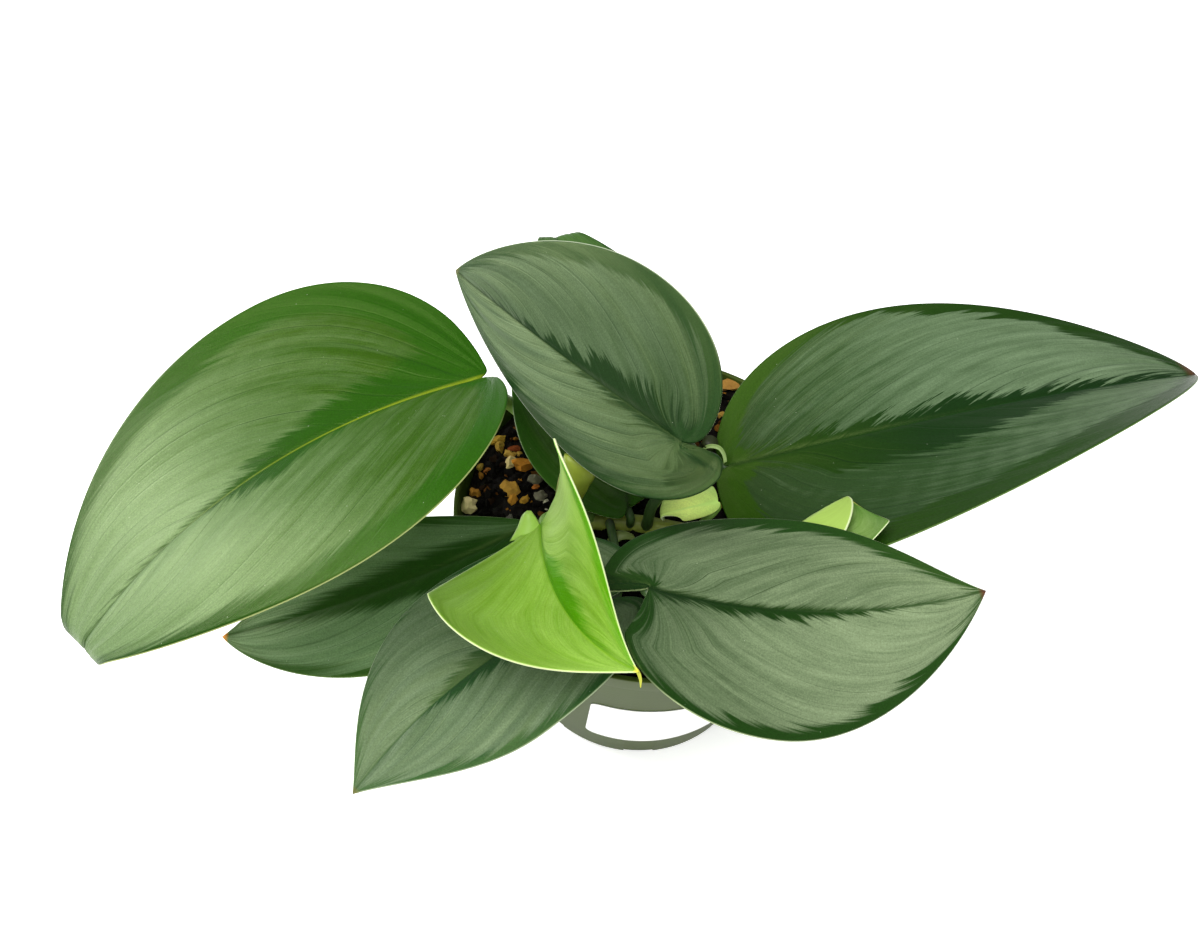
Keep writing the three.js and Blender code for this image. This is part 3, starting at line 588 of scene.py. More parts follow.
def blade_points(leaf, half, side, x, y):
    """Points and normals of a half at flat places. The half leaves the midrib at the fold angle and turns
    evenly by the curl on its way out, so a section across is part of a circle."""
    spine = midrib(leaf)
    share = np.clip(x / leaf["length"], 0, 1)
    frame = blade_frames(leaf, share)
    along, across, up = frame[..., 0], frame[..., 1], frame[..., 2]
    places = np.linspace(0, 1, MIDRIB_STEPS + 1)
    point = np.stack([np.interp(share, places, spine[:, k]) for k in range(3)], -1)
    fold = (half["fold"] + (half["tip_fold"] - half["fold"]) * share) * DEGREE
    curl = half["curl"] * DEGREE / half["wide"]
    angle = fold + curl * y
    point = point + (x - share * leaf["length"])[..., None] * along
    point = point + (side * (np.sin(angle) - np.sin(fold)) / curl)[..., None] * across
    point = point + ((np.cos(fold) - np.cos(angle)) / curl)[..., None] * up
    flat = smooth_step(y / 1.2)
    angle = angle * flat
    normal = np.cos(angle)[..., None] * up - (side * np.sin(angle))[..., None] * across
    return point, normal


def waves(places, seed, length, count=18):
    """Seeded sine waves of about one length added up over places, from about -1 to 1."""
    random = np.random.default_rng(seed)
    total = np.zeros(places.shape[:-1])
    for _ in range(count):
        direction = random.normal(size=places.shape[-1])
        direction /= np.linalg.norm(direction)
        pitch = length * random.uniform(0.7, 1.6)
        total += np.sin(2 * math.pi * (places @ direction) / pitch + random.uniform(0, 2 * math.pi))
    return total / math.sqrt(count)


def smooth_path(points, steps):
    """A centripetal curve through the points: on each span, the two cubic slopes follow from the square
    roots of the distances to the neighbours. Points at even steps along it."""
    points = np.asarray(points, float)
    points = np.concatenate([[2 * points[0] - points[1]], points, [2 * points[-1] - points[-2]]])
    gaps = np.maximum(np.linalg.norm(np.diff(points, axis=0), axis=1) ** 0.5, 1e-4)
    pieces = []
    for i in range(1, len(points) - 2):
        p0, p1, p2, p3 = points[i - 1:i + 3]
        d0, d1, d2 = gaps[i - 1:i + 2]
        m1 = ((p1 - p0) / d0 - (p2 - p0) / (d0 + d1) + (p2 - p1) / d1) * d1
        m2 = ((p2 - p1) / d1 - (p3 - p1) / (d1 + d2) + (p3 - p2) / d2) * d1
        t = np.linspace(0, 1, 24, endpoint=False)[:, None]
        pieces.append(p1 * (2 * t ** 3 - 3 * t ** 2 + 1) + m1 * (t ** 3 - 2 * t ** 2 + t)
                      + p2 * (3 * t ** 2 - 2 * t ** 3) + m2 * (t ** 3 - t ** 2))
    fine = np.concatenate(pieces + [points[-2][None]])
    run = np.concatenate([[0], np.cumsum(np.linalg.norm(np.diff(fine, axis=0), axis=1))])
    even = np.linspace(0, run[-1], steps + 1)
    return np.stack([np.interp(even, run, fine[:, k]) for k in range(3)], 1), even


def tube(path, radii, sides=20):
    """A closed tube: circles of the given radii square to the path, and its two ends drawn to a point."""
    ahead = np.gradient(path, axis=0)
    ahead /= np.linalg.norm(ahead, axis=1)[:, None]
    side = np.cross(ahead, TUBE_UP)
    side /= np.linalg.norm(side, axis=1)[:, None]
    over = np.cross(side, ahead)
    turn = np.linspace(0, 2 * math.pi, sides + 1)
    ring = np.cos(turn)[None, :, None] * side[:, None] + np.sin(turn)[None, :, None] * over[:, None]
    points = path[:, None] + ring * np.asarray(radii)[:, None, None]
    first, last = (np.broadcast_to(path[end], (1, sides + 1, 3)) for end in (0, -1))
    points = np.concatenate([first, points, last])
    return points.reshape(-1, 3), grid_triangles(len(points), sides + 1)


def outward(points, triangles):
    """The triangles of a closed surface, turned over if they enclose less than nothing."""
    a, b, c = (points[triangles[:, k]] for k in range(3))
    volume = np.einsum("ij,ij->i", a, np.cross(b, c)).sum()
    return triangles if volume > 0 else triangles[:, ::-1]


def margin_distance(x, y, margin):
    """The distance of flat places from a margin given as points."""
    a, b = margin[:-1], margin[1:]
    step = b - a
    place = np.stack([x, y], -1).reshape(-1, 1, 2)
    share = ((place - a) * step).sum(-1) / np.maximum((step * step).sum(-1), 1e-9)
    nearest = a + np.clip(share, 0, 1)[..., None] * step
    return np.linalg.norm(place - nearest, axis=-1).min(1).reshape(x.shape)


def curve_of(points, values):
    """A value at each place from (place, value) corners joined by straight lines."""
    corners = np.asarray(points, float)
    return np.interp(values, corners[:, 0], corners[:, 1])


def blade(leaf, seed):
    """A blade as one closed sheet. Each line of its grid follows a side vein: it starts on the midrib at
    the square of its number and runs out and forwards to the margin. The two faces lie a little above and
    below the middle surface and meet in a round edge. Its fields tell the finish where it is."""
    small = leaf["length"] < SMALL_LEAF
    rows, across = (60, 14) if small else (VEIN_ROWS, ACROSS)
    t = np.linspace(0, 1, rows + 1) ** LINE_CROWDING
    even = np.linspace(0, 1, across + 1)
    out = even - EDGE_CROWDING * np.sin(2 * math.pi * even) / (2 * math.pi)
    rooted = np.clip((t - LOBE_PART) / (1 - LOBE_PART), 0, None) ** 2
    halves = []
    for side, half in ((-1, leaf["right"]), (1, leaf["left"])):
        edge = flat_margin(leaf, half, t)
        start = leaf["length"] * rooted
        x = start[:, None] + (edge[:, :1] - start[:, None]) * out * (1 - LINE_BEND + LINE_BEND * out)
        y = edge[:, 1:] * out
        point, normal = blade_points(leaf, half, side, x, y)
        far = margin_distance(x, y, flat_margin(leaf, half, np.linspace(0, 1, 400)))
        far[:, -1] = 0
        along = x / leaf["length"]
        near = np.hypot(y, np.minimum(x, 0))
        width = near + far
        way = near / np.maximum(width, 0.01)
        sweep = leaf["length"] * (VEIN_SWEEP * way + VEIN_CURVE * way ** 2)
        vein = np.stack([x - sweep + HALVES_APART * side, 1.5 * half["wide"] * way, seed + 0 * x], -1)
        inner = near - curve_of(half["core"], along) * width
        teeth = half.get("teeth", leaf["teeth"])
        zone = np.stack([inner, far - curve_of(half["rim"], along), 0 * x + teeth], -1)
        lanes = np.stack([vein[..., 0], 0.3 * vein[..., 1]], -1)
        mottle = waves(lanes, int(seed) + 5, MOTTLE_LENGTH)
        tone = curve_of(half.get("tone", leaf["tone"]), along) + leaf.get("patchy", PATCHY) * mottle
        look = np.stack([curve_of(leaf["fresh"], along), tone, 0 * x + leaf["edge"]], -1)
        place = np.stack([far, y, along], -1)
        swell = waves(lanes, int(seed), SWELL_LENGTH) * (SWELL_SMALL if small else SWELL)
        swell *= smooth_step(near / 5) * smooth_step(far / 4)
        lift = swell[..., None] * normal
        groove = RIB_GROOVE * np.exp(-(y / 0.9) ** 2) * smooth_step(far / 3)
        ridge = (RIB_SMALL if small else RIB_RIDGE) * np.exp(-(y / 1.1) ** 2)
        ridge = ridge * (1 - 0.75 * along) * smooth_step(far / 4)
        thin = BLADE_HALF * np.sqrt(np.clip(1 - (1 - np.clip(far / EDGE_ROUND, 0, 1)) ** 2, 0, 1))
        top = point + lift + (thin - groove)[..., None] * normal
        low = point + lift - (thin + ridge)[..., None] * normal
        halves.append([top, low, vein, zone, look, place])
    whole = [np.concatenate([right[:, ::-1], left[:, 1:]], 1) for right, left in zip(*halves)]
    top, low, *fields = whole
    columns = 2 * across + 1
    count = (rows + 1) * columns
    upper = grid_triangles(rows + 1, columns)
    lower = grid_triangles(rows + 1, columns, count)[:, ::-1]
    points = np.concatenate([top.reshape(-1, 3), low.reshape(-1, 3)])
    triangles = np.concatenate([upper, lower])
    looks = np.repeat([0, 1], [len(upper), len(lower)])
    fields = {name: np.tile(values.reshape(-1, 3), (2, 1)) for name, values in zip(FIELDS, fields)}
    return welded(points, triangles, looks, fields)


def stalk(leaf):
    """A leaf's stalk: a tube from under the midrib's base to the stem, a little thicker at both ends."""
    frame = blade_frames(leaf, np.array([0.0]))[0]
    radius = leaf["stalk"]["radius"]
    base = np.asarray(leaf["base"], float) - frame[:, 2] * (0.5 + 0.9 * radius)
    start = base + frame[:, 0] * 0.06 * leaf["length"]
    path, run = smooth_path([start, base, *leaf["stalk"]["path"]], STALK_STEPS)
    share = run / run[-1]
    knee = STALK_KNEE * np.exp(-((share - 0.12) / 0.06) ** 2)
    waist = STALK_WAIST * smooth_step((share - 0.2) / 0.3)
    foot = STALK_FOOT * smooth_step((share - 0.85) / 0.15)
    radii = radius * (1 + knee - waist + foot)
    radii[:STALK_POINT] *= np.linspace(0.35, 1, STALK_POINT)
    return closed(*tube(path, radii))


def leaf_tissue(name, palette, young):
    """Leaf upper side: waxy, with air under its skin that makes it silver except along midrib and rim.
    The silver's border is feathered along the side veins, and thin darker veins cross it."""
    deep, fresh, dull, light, rib, rib_tip, _, tip, edge_line = [linear(c) for c in palette]
    material, tree = new_material(f"{name}_upper_side_waxy")
    fields = {field: add_node(tree, "Attribute", out="Vector", attribute_name=field) for field in FIELDS}
    inner, outer, teeth = add_node(tree, "SeparateXYZ", {0: fields["zone"]}).node.outputs
    green, tone, soft = add_node(tree, "SeparateXYZ", {0: fields["look"]}).node.outputs
    far, side, along = add_node(tree, "SeparateXYZ", {0: fields["place"]}).node.outputs

    def streaks(across, length, detail, low, high):
        """Noise drawn out along the veins, its width across them and its length in millimetres, spread
        from low to high."""
        spot = add_node(tree, "VectorMath", {0: fields["vein"], 1: (1 / across, 1 / length, 1)},
                        operation="MULTIPLY")
        noise = add_node(tree, "TexNoise", {"Vector": spot, "Scale": 1, "Detail": detail, "Roughness": 0.6})
        return add_node(tree, "MapRange", {0: noise, 1: 0.3, 2: 0.7, 3: low, 4: high})

    def band(distance, feather, broad):
        """How far a place lies in the silver: its distance from the border, shifted by two sizes of
        streak, over the border's softness."""
        shift = add_node(tree, "Math", {0: feather, 1: broad}, operation="ADD")
        place = add_node(tree, "Math", {0: distance, 1: shift}, operation="ADD")
        share = add_node(tree, "Math", {0: place, 1: soft}, operation="DIVIDE")
        return add_node(tree, "MapRange", {0: share, 1: -1, 2: 1}, interpolation_type="SMOOTHSTEP")

    # Silver between the feathered green along the midrib and the smeared green along the rim
    feather = add_node(tree, "Math", {0: streaks(1.0, 9, 2, -0.5, 0.5), 1: teeth}, operation="MULTIPLY")
    spread = add_node(tree, "Math", {0: streaks(3.6, 14, 2, -0.6, 0.6), 1: teeth}, operation="MULTIPLY")
    core_band = band(inner, feather, spread)
    rim_band = band(outer, streaks(2.4, 12, 3, -1.1, 1.1), streaks(8, 22, 1, -1.1, 1.1))
    silver = add_node(tree, "Math", {0: core_band, 1: rim_band}, operation="MULTIPLY")
    veil = add_node(tree, "Math", {0: silver, 1: streaks(3, 12, 3, 0.8, 1.0)}, operation="MULTIPLY")
    # The tone field sets how light the silver is. For leaf_left towards its tip and for leaf_young_rolled
    # halfway along, it also carries painted sheen.
    shade = add_node(tree, "Math", {0: tone, 1: streaks(0.6, 12, 3, -0.13, 0.13)}, operation="ADD")
    shade = add_node(tree, "Math", {0: shade, 1: streaks(6, 10, 3, -0.16, 0.16)}, operation="ADD",
                     use_clamp=True)
    outside = add_node(tree, "MapRange", {0: rim_band, 1: 0.0, 2: 1.0, 3: 0.2, 4: 0.0})
    green = add_node(tree, "Math", {0: green, 1: outside}, operation="ADD", use_clamp=True)
    ground = add_node(tree, "Mix", {"Factor": green, 6: deep, 7: fresh}, **MIX_COLORS)
    tissue = add_node(tree, "Mix", {"Factor": shade, 6: dull, 7: light}, **MIX_COLORS)
    color = add_node(tree, "Mix", {"Factor": veil, 6: ground, 7: tissue}, **MIX_COLORS)

    # Thin dark side veins at wandering distances, each fading in and out
    lane = add_node(tree, "SeparateXYZ", {0: fields["vein"]}, out=0)
    lane = add_node(tree, "Math", {0: lane, 1: streaks(16, 200, 1, -4, 4)}, operation="ADD")
    lane = add_node(tree, "Math", {0: lane, 1: VEIN_SPACING / 2}, operation="PINGPONG")
    line = add_node(tree, "MapRange", {0: lane, 1: 0.05, 2: 0.3, 3: 1.0, 4: 0.0})
    shown = streaks(11, 30, 1, -0.7, 1.5)
    line = add_node(tree, "Math", {0: line, 1: shown}, operation="MULTIPLY", use_clamp=True)
    inside = add_node(tree, "MapRange", {0: far, 1: 1.5, 2: 7.0})
    line = add_node(tree, "Math", {0: line, 1: inside}, operation="MULTIPLY")
    drawn = add_node(tree, "Math", {0: line, 1: 0.12 if young else 0.8}, operation="MULTIPLY")
    color = add_node(tree, "Mix", {"Factor": drawn, 6: color, 7: deep}, **MIX_COLORS)

    # The grain of the skin and tiny pale specks
    spot = add_node(tree, "TexCoord", out="Object")
    grain = add_node(tree, "TexNoise", {"Vector": spot, "Scale": 2600, "Detail": 2, "Roughness": 0.7})
    depth = 0.1 if young else 0.2
    level = add_node(tree, "MapRange", {0: grain, 1: 0.3, 2: 0.7, 3: 1 - depth, 4: 1 + depth})
    color = add_node(tree, "VectorMath", {0: color, 1: level}, operation="MULTIPLY")
    cells = add_node(tree, "TexVoronoi", {"Vector": spot, "Scale": 380}, out="Distance")
    speck = add_node(tree, "MapRange", {0: cells, 1: 0.02, 2: 0.042, 3: 0.6, 4: 0.0})
    chance = add_node(tree, "TexNoise", {"Vector": spot, "Scale": 150, "Detail": 0})
    chosen = add_node(tree, "MapRange", {0: chance, 1: 0.5, 2: 0.55})
    speck = add_node(tree, "Math", {0: speck, 1: chosen}, operation="MULTIPLY")
    color = add_node(tree, "Mix", {"Factor": speck, 6: color, 7: linear("#c8d2b8")}, **MIX_COLORS)

    # Midrib, wider at the base, then the dark or pale line at the rim and the dry tip
    width = add_node(tree, "MapRange", {0: along, 1: 0.0, 2: 0.3, 3: 0.9, 4: 0.32})
    share = add_node(tree, "Math", {0: side, 1: width}, operation="DIVIDE")
    on_rib = add_node(tree, "MapRange", {0: share, 1: 0.3, 2: 1.2, 3: 0.75, 4: 0.0})
    rib_way = add_node(tree, "MapRange", {0: along, 1: 0.3, 2: 0.7})
    rib_color = add_node(tree, "Mix", {"Factor": rib_way, 6: rib, 7: rib_tip}, **MIX_COLORS)
    color = add_node(tree, "Mix", {"Factor": on_rib, 6: color, 7: rib_color}, **MIX_COLORS)
    line_width = 0.16 if young else 0.26
    rim = add_node(tree, "MapRange", {0: far, 1: 0.3 * line_width, 2: line_width, 3: 0.9, 4: 0.0})
    past_notch = add_node(tree, "MapRange", {0: along, 1: 0.0, 2: 0.1})
    rim = add_node(tree, "Math", {0: rim, 1: past_notch}, operation="MULTIPLY")
    color = add_node(tree, "Mix", {"Factor": rim, 6: color, 7: edge_line}, **MIX_COLORS)
    dry = add_node(tree, "MapRange", {0: along, 1: 0.975, 2: 0.99})
    color = add_node(tree, "Mix", {"Factor": dry, 6: color, 7: tip}, **MIX_COLORS)

    # Pleats along the side veins, fine streaks and grain in the gloss
    pleat = add_node(tree, "MapRange", {0: lane, 1: 0.0, 2: 1.6, 3: 0.0, 4: 1.0},
                     interpolation_type="SMOOTHSTEP")
    inlay = add_node(tree, "Math", {0: pleat, 1: inside}, operation="MULTIPLY")
    relief = add_node(tree, "Bump", {"Strength": 0.3, "Distance": 0.00012, "Height": inlay})
    fine = streaks(0.5, 14, 3, 0, 1)
    height = add_node(tree, "Math", {0: fine, 1: grain}, operation="ADD")
    bump = add_node(tree, "Bump", {"Strength": 0.3, "Distance": 0.00008, "Height": height,
                                   "Normal": relief})
    rough = add_node(tree, "MapRange", {0: silver, 1: 0, 2: 1, 3: 0.3, 4: 0.36})
    add_surface(tree, {"Base Color": color, "Roughness": rough, "IOR": LEAF_INDEX,
                       "Specular Tint": WAX_TINT, "Normal": bump})
    return material


def add_surface(tree, inputs):
    """The main shader and the output it feeds."""
    surface = add_node(tree, "BsdfPrincipled", inputs)
    add_node(tree, "OutputMaterial", {"Surface": surface})


def leaf_underside(name, palette):
    """Leaf underside: matte and paler, with the net of veins faintly raised."""
    material, tree = new_material(f"{name}_underside_matte")
    vein = add_node(tree, "Attribute", out="Vector", attribute_name="vein")
    place = add_node(tree, "Attribute", out="Vector", attribute_name="place")
    far, side, _ = add_node(tree, "SeparateXYZ", {0: place}).node.outputs
    spot = add_node(tree, "VectorMath", {0: vein, 1: (1 / 1.2, 1 / 20, 1)}, operation="MULTIPLY")
    fine = add_node(tree, "TexNoise", {"Vector": spot, "Scale": 1, "Detail": 4, "Roughness": 0.6})
    under = linear(palette[6])
    dark = [0.72 * part for part in under[:3]] + [1.0]
    color = add_node(tree, "Mix", {"Factor": fine, 6: dark, 7: under}, **MIX_COLORS)
    rim = add_node(tree, "MapRange", {0: far, 1: 0.2, 2: 0.5, 3: 0.8, 4: 0.0})
    color = add_node(tree, "Mix", {"Factor": rim, 6: color, 7: linear("#dbe5b8")}, **MIX_COLORS)
    rib = add_node(tree, "MapRange", {0: side, 1: 0.5, 2: 1.6, 3: 0.6, 4: 0.0})
    color = add_node(tree, "Mix", {"Factor": rib, 6: color, 7: linear("#a9c07c")}, **MIX_COLORS)
    bump = add_node(tree, "Bump", {"Strength": 0.3, "Distance": 0.0002, "Height": fine})
    add_surface(tree, {"Base Color": color, "Roughness": 0.6, "IOR": 1.4, "Normal": bump})
    return material


def stalk_skin(name, low, high):
    """Stalk or stem skin: smooth, waxy, with fine streaks along it and pale marks."""
    material, tree = new_material(name)
    spot = add_node(tree, "TexCoord", out="Object")
    soft = add_node(tree, "TexNoise", {"Vector": spot, "Scale": 240, "Detail": 3, "Roughness": 0.6})
    color = add_node(tree, "Mix", {"Factor": soft, 6: linear(low), 7: linear(high)}, **MIX_COLORS)
    bump = add_node(tree, "Bump", {"Strength": 0.3, "Distance": 0.0002, "Height": soft})
    add_surface(tree, {"Base Color": color, "Roughness": 0.45, "IOR": 1.4, "Normal": bump})
    return material


def moulded_pot():
    """Injection moulded polypropylene: satin dark green, faintly mottled, with fine rings of the mould."""
    material, tree = new_material("moulded_polypropylene_green")
    spot = add_node(tree, "TexCoord", out="Object")
    mottle = add_node(tree, "TexNoise", {"Vector": spot, "Scale": 60, "Detail": 3, "Roughness": 0.5})
    color = add_node(tree, "Mix", {"Factor": mottle, 6: linear("#2c3b10"), 7: linear("#364616")},
                     **MIX_COLORS)
    height = add_node(tree, "SeparateXYZ", {0: spot}, out=2)
    rings = add_node(tree, "TexNoise", {"W": height, "Scale": 1400, "Detail": 2}, noise_dimensions="1D")
    bump = add_node(tree, "Bump", {"Strength": 0.25, "Distance": 0.0001, "Height": rings})
    add_surface(tree, {"Base Color": color, "Roughness": 0.55, "IOR": 1.3,
                       "Specular Tint": PLASTIC_TINT, "Normal": bump})
    return material


def sticker_paper():
    """Smooth coated paper: white, with a hardly visible unevenness."""
    material, tree = new_material("coated_label_paper")
    spot = add_node(tree, "TexCoord", out="Object")
    fibre = add_node(tree, "TexNoise", {"Vector": spot, "Scale": 700, "Detail": 3})
    color = add_node(tree, "Mix", {"Factor": fibre, 6: linear("#f4f4f1"), 7: linear("#fdfdfb")},
                     **MIX_COLORS)
    bump = add_node(tree, "Bump", {"Strength": 0.1, "Distance": 0.0001, "Height": fibre})
    add_surface(tree, {"Base Color": color, "Roughness": 0.5, "IOR": 1.45, "Normal": bump})
    return material


def wet_peat():
    """Moist peat: nearly black brown crumbs with a dull wet shine."""
    material, tree = new_material("moist_peat")
    spot = add_node(tree, "TexCoord", out="Object")
    crumbs = add_node(tree, "TexNoise", {"Vector": spot, "Scale": 520, "Detail": 6, "Roughness": 0.7})
    ramp = add_node(tree, "MapRange", {0: crumbs, 1: 0.35, 2: 0.75})
    color = add_node(tree, "Mix", {"Factor": ramp, 6: linear("#040302"), 7: linear("#100a05")},
                     **MIX_COLORS)
    bump = add_node(tree, "Bump", {"Strength": 1.0, "Distance": 0.0008, "Height": crumbs})
    add_surface(tree, {"Base Color": color, "Roughness": 0.8, "IOR": 1.2, "Normal": bump})
    return material


def crumb_finish():
    """Bark, pumice and perlite: each piece has its own tone, set by its field, over a rough grain."""
    material, tree = new_material("bark_pumice_perlite")
    tone = add_node(tree, "Attribute", out="Vector", attribute_name="tone")
    spot = add_node(tree, "TexCoord", out="Object")
    grain = add_node(tree, "TexNoise", {"Vector": spot, "Scale": 900, "Detail": 4, "Roughness": 0.65})
    dark = add_node(tree, "Mix", {"Factor": grain, 6: (0.45, 0.45, 0.45, 1), 7: (1.15, 1.15, 1.15, 1)},
                    **MIX_COLORS)
    color = add_node(tree, "Mix", {"Factor": 1.0, 6: tone, 7: dark},
                     blend_type="MULTIPLY", **MIX_COLORS)
    bump = add_node(tree, "Bump", {"Strength": 0.7, "Distance": 0.0004, "Height": grain})
    add_surface(tree, {"Base Color": color, "Roughness": 0.9, "IOR": 1.15, "Normal": bump})
    return material


def finished(piece, slot, *nodes):
    """The piece rides on the part and hides the nodes it stands for. Its slot is not used."""
    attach(piece, "root")
    if nodes:
        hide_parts(*nodes)


def wall_radius(height):
    """The pot's outside radius under the band, growing evenly with height."""
    return BASE_RADIUS + (RIM_RADIUS - RIM_STEP - BASE_RADIUS) * height / POT_HEIGHT


def rounded(corners, steps=6):
    """A profile from rows of radius, height and rounding: each corner is cut back by its rounding along
    both sides and curved between."""
    corners = np.array(corners, float)
    profile, roundings = corners[:, :2], corners[:, 2]
    points = []
    for i, (corner, rounding) in enumerate(zip(profile, roundings)):
        if rounding == 0:
            points.append(corner[None])
            continue
        before, after = profile[i - 1] - corner, profile[i + 1] - corner
        a = corner + before / np.linalg.norm(before) * rounding
        b = corner + after / np.linalg.norm(after) * rounding
        t = np.linspace(0, 1, steps)[:, None]
        points.append((1 - t) ** 2 * a + 2 * (1 - t) * t * corner + t ** 2 * b)
    return np.concatenate(points)


def make_pot():
    """The pot: its profile turned about +Z, with the drain slots cut out of its foot."""
    band = POT_HEIGHT - RIM_BAND_HEIGHT
    step = band + RIM_STEP
    profile = rounded([
        (0, 0, 0),
        (BASE_RADIUS - FOOT_ROUND, 0, 0.8),
        (wall_radius(FOOT_ROUND), FOOT_ROUND, 0.8),
        (wall_radius(band), band, 0.3),
        (wall_radius(band) + RIM_STEP, step, 0.4),
        (RIM_RADIUS, POT_HEIGHT, RIM_ROUND),
        (RIM_RADIUS - POT_WALL, POT_HEIGHT, RIM_ROUND),
        (wall_radius(step) - POT_WALL, step, 0.4),
        (wall_radius(POT_WALL) - POT_WALL, POT_WALL, 0.6),
        (0, POT_WALL, 0),
    ])
    turn = np.linspace(0, 2 * math.pi, POT_SIDES + 1)
    radius, height = profile[:, :1], profile[:, 1:]
    points = np.stack([radius * np.cos(turn), radius * np.sin(turn), height + 0 * turn], -1).reshape(-1, 3)
    triangles = grid_triangles(len(profile), POT_SIDES + 1)
    pot = mesh_object("nursery_pot", *closed(points, triangles), [moulded_pot()])
    cube = np.array([(x, y, z) for x in (-1, 1) for y in (-1, 1) for z in (-1, 1)], float)
    box = cube * (DRAIN_REACH, DRAIN_WIDTH / 2, DRAIN_HEIGHT) + (BASE_RADIUS, 0, 0)
    slots = np.arange(DRAIN_SLOTS)
    turned = turns("z", DRAIN_FIRST + 360 * slots / DRAIN_SLOTS)
    cut_points = np.einsum("nij,kj->nki", turned, box).reshape(-1, 3)
    cut_faces = (np.array(BOX_FACES) + 8 * slots[:, None, None]).reshape(-1, 3)
    cutter = mesh_object("drain_cutter", cut_points, outward(cut_points, cut_faces), [])
    cut = pot.modifiers.new("drain slots", "BOOLEAN")
    cut.object = cutter
    cut.operation = "DIFFERENCE"
    cut.solver = "EXACT"
    bpy.context.view_layer.update()
    evaluated = pot.evaluated_get(bpy.context.evaluated_depsgraph_get())
    mesh = bpy.data.meshes.new_from_object(evaluated)
    pot.modifiers.clear()
    pot.data = mesh
    bpy.data.objects.remove(cutter)
    mesh.shade_smooth()
    mesh.set_sharp_from_angle(angle=SHARP_FROM * DEGREE)
    finished(pot, "pot_plastic", "pot")


def make_label():
    """The label: columns wrapped round the wall, equally long at every height and shorter where its
    corners are round."""
    share = -np.cos(math.pi * np.arange(LABEL_COLUMNS + 1) / LABEL_COLUMNS)
    inside = np.clip(LABEL_CORNER - LABEL_HALF_LENGTH * (1 - np.abs(share)), 0, None)
    cut = LABEL_CORNER - np.sqrt(np.clip(LABEL_CORNER ** 2 - inside ** 2, 0, None))
    level = np.linspace(0, 1, LABEL_ROWS + 1)[:, None]
    height = (LABEL_LOW + cut) + level * (LABEL_HIGH - LABEL_LOW - 2 * cut)
    angle = LABEL_MIDDLE * DEGREE + LABEL_HALF_LENGTH * share / wall_radius(height)
    sheets = []
    for lift in (0, LABEL_THICKNESS):
        radius = wall_radius(height) + LABEL_GAP + lift
        sheets.append(np.stack([radius * np.cos(angle), radius * np.sin(angle), height], -1))
    rows, columns = height.shape
    back, front = grid_triangles(rows, columns), grid_triangles(rows, columns, rows * columns)[:, ::-1]
    index = np.arange(rows * columns).reshape(rows, columns)
    ring = np.concatenate([index[0], index[1:, -1], index[-1, -2::-1], index[-2::-1, 0]])
    a, b = ring[:-1], ring[1:]
    over_a, over_b = a + rows * columns, b + rows * columns
    edge = np.concatenate([np.stack([a, b, over_b], 1), np.stack([a, over_b, over_a], 1)])
    points = np.concatenate([s.reshape(-1, 3) for s in sheets])
    triangles = outward(points, np.concatenate([back, front, edge[:, ::-1]]))
    label = mesh_object("blank_label", points, triangles, [sticker_paper()])
    label.data.set_sharp_from_angle(angle=SHARP_FROM * DEGREE)
    finished(label, "label_paper", "pot_label")


def soil_height(radius):
    """The soil's level: a low crown that falls with the square of the radius."""
    return SOIL_EDGE + SOIL_CROWN * (1 - (radius / wall_radius(SOIL_EDGE)) ** 2)


def make_soil():
    """The peat bed: rings from the middle out with seeded bumps, closed along the wall and the floor."""
    rim = wall_radius(SOIL_EDGE) - POT_WALL - SEAT_GAP
    radius = rim * np.linspace(0, 1, SOIL_RINGS + 1) ** 0.8
    turn = np.linspace(0, 2 * math.pi, SOIL_SPOKES + 1)
    x, y = radius[:, None] * np.cos(turn), radius[:, None] * np.sin(turn)
    flat = np.stack([x, y], -1)
    bumps = 0.55 * waves(flat, 3, 6) + 0.4 * waves(flat, 4, 2.6) + 0.2 * waves(flat, 5, 1.4)
    bumps[:, -1] = bumps[:, 0]
    z = soil_height(radius)[:, None] + bumps * smooth_step((rim - radius) / 3)[:, None]
    z = z - 0.4 * smooth_step((radius - rim + 4) / 4)[:, None]
    top = np.stack([x, y, z], -1)
    floor = POT_WALL + SEAT_GAP
    low_rim = wall_radius(floor) - POT_WALL - SEAT_GAP
    foot = np.stack([low_rim * np.cos(turn), low_rim * np.sin(turn), 0 * turn + floor], -1)
    middle = np.stack([0 * turn, 0 * turn, 0 * turn + floor], -1)
    points = np.concatenate([top, foot[None], middle[None]]).reshape(-1, 3)
    triangles = grid_triangles(SOIL_RINGS + 3, SOIL_SPOKES + 1)
    soil = mesh_object("peat_bed", *closed(points, triangles), [wet_peat()])
    finished(soil, "potting_mix", "soil")


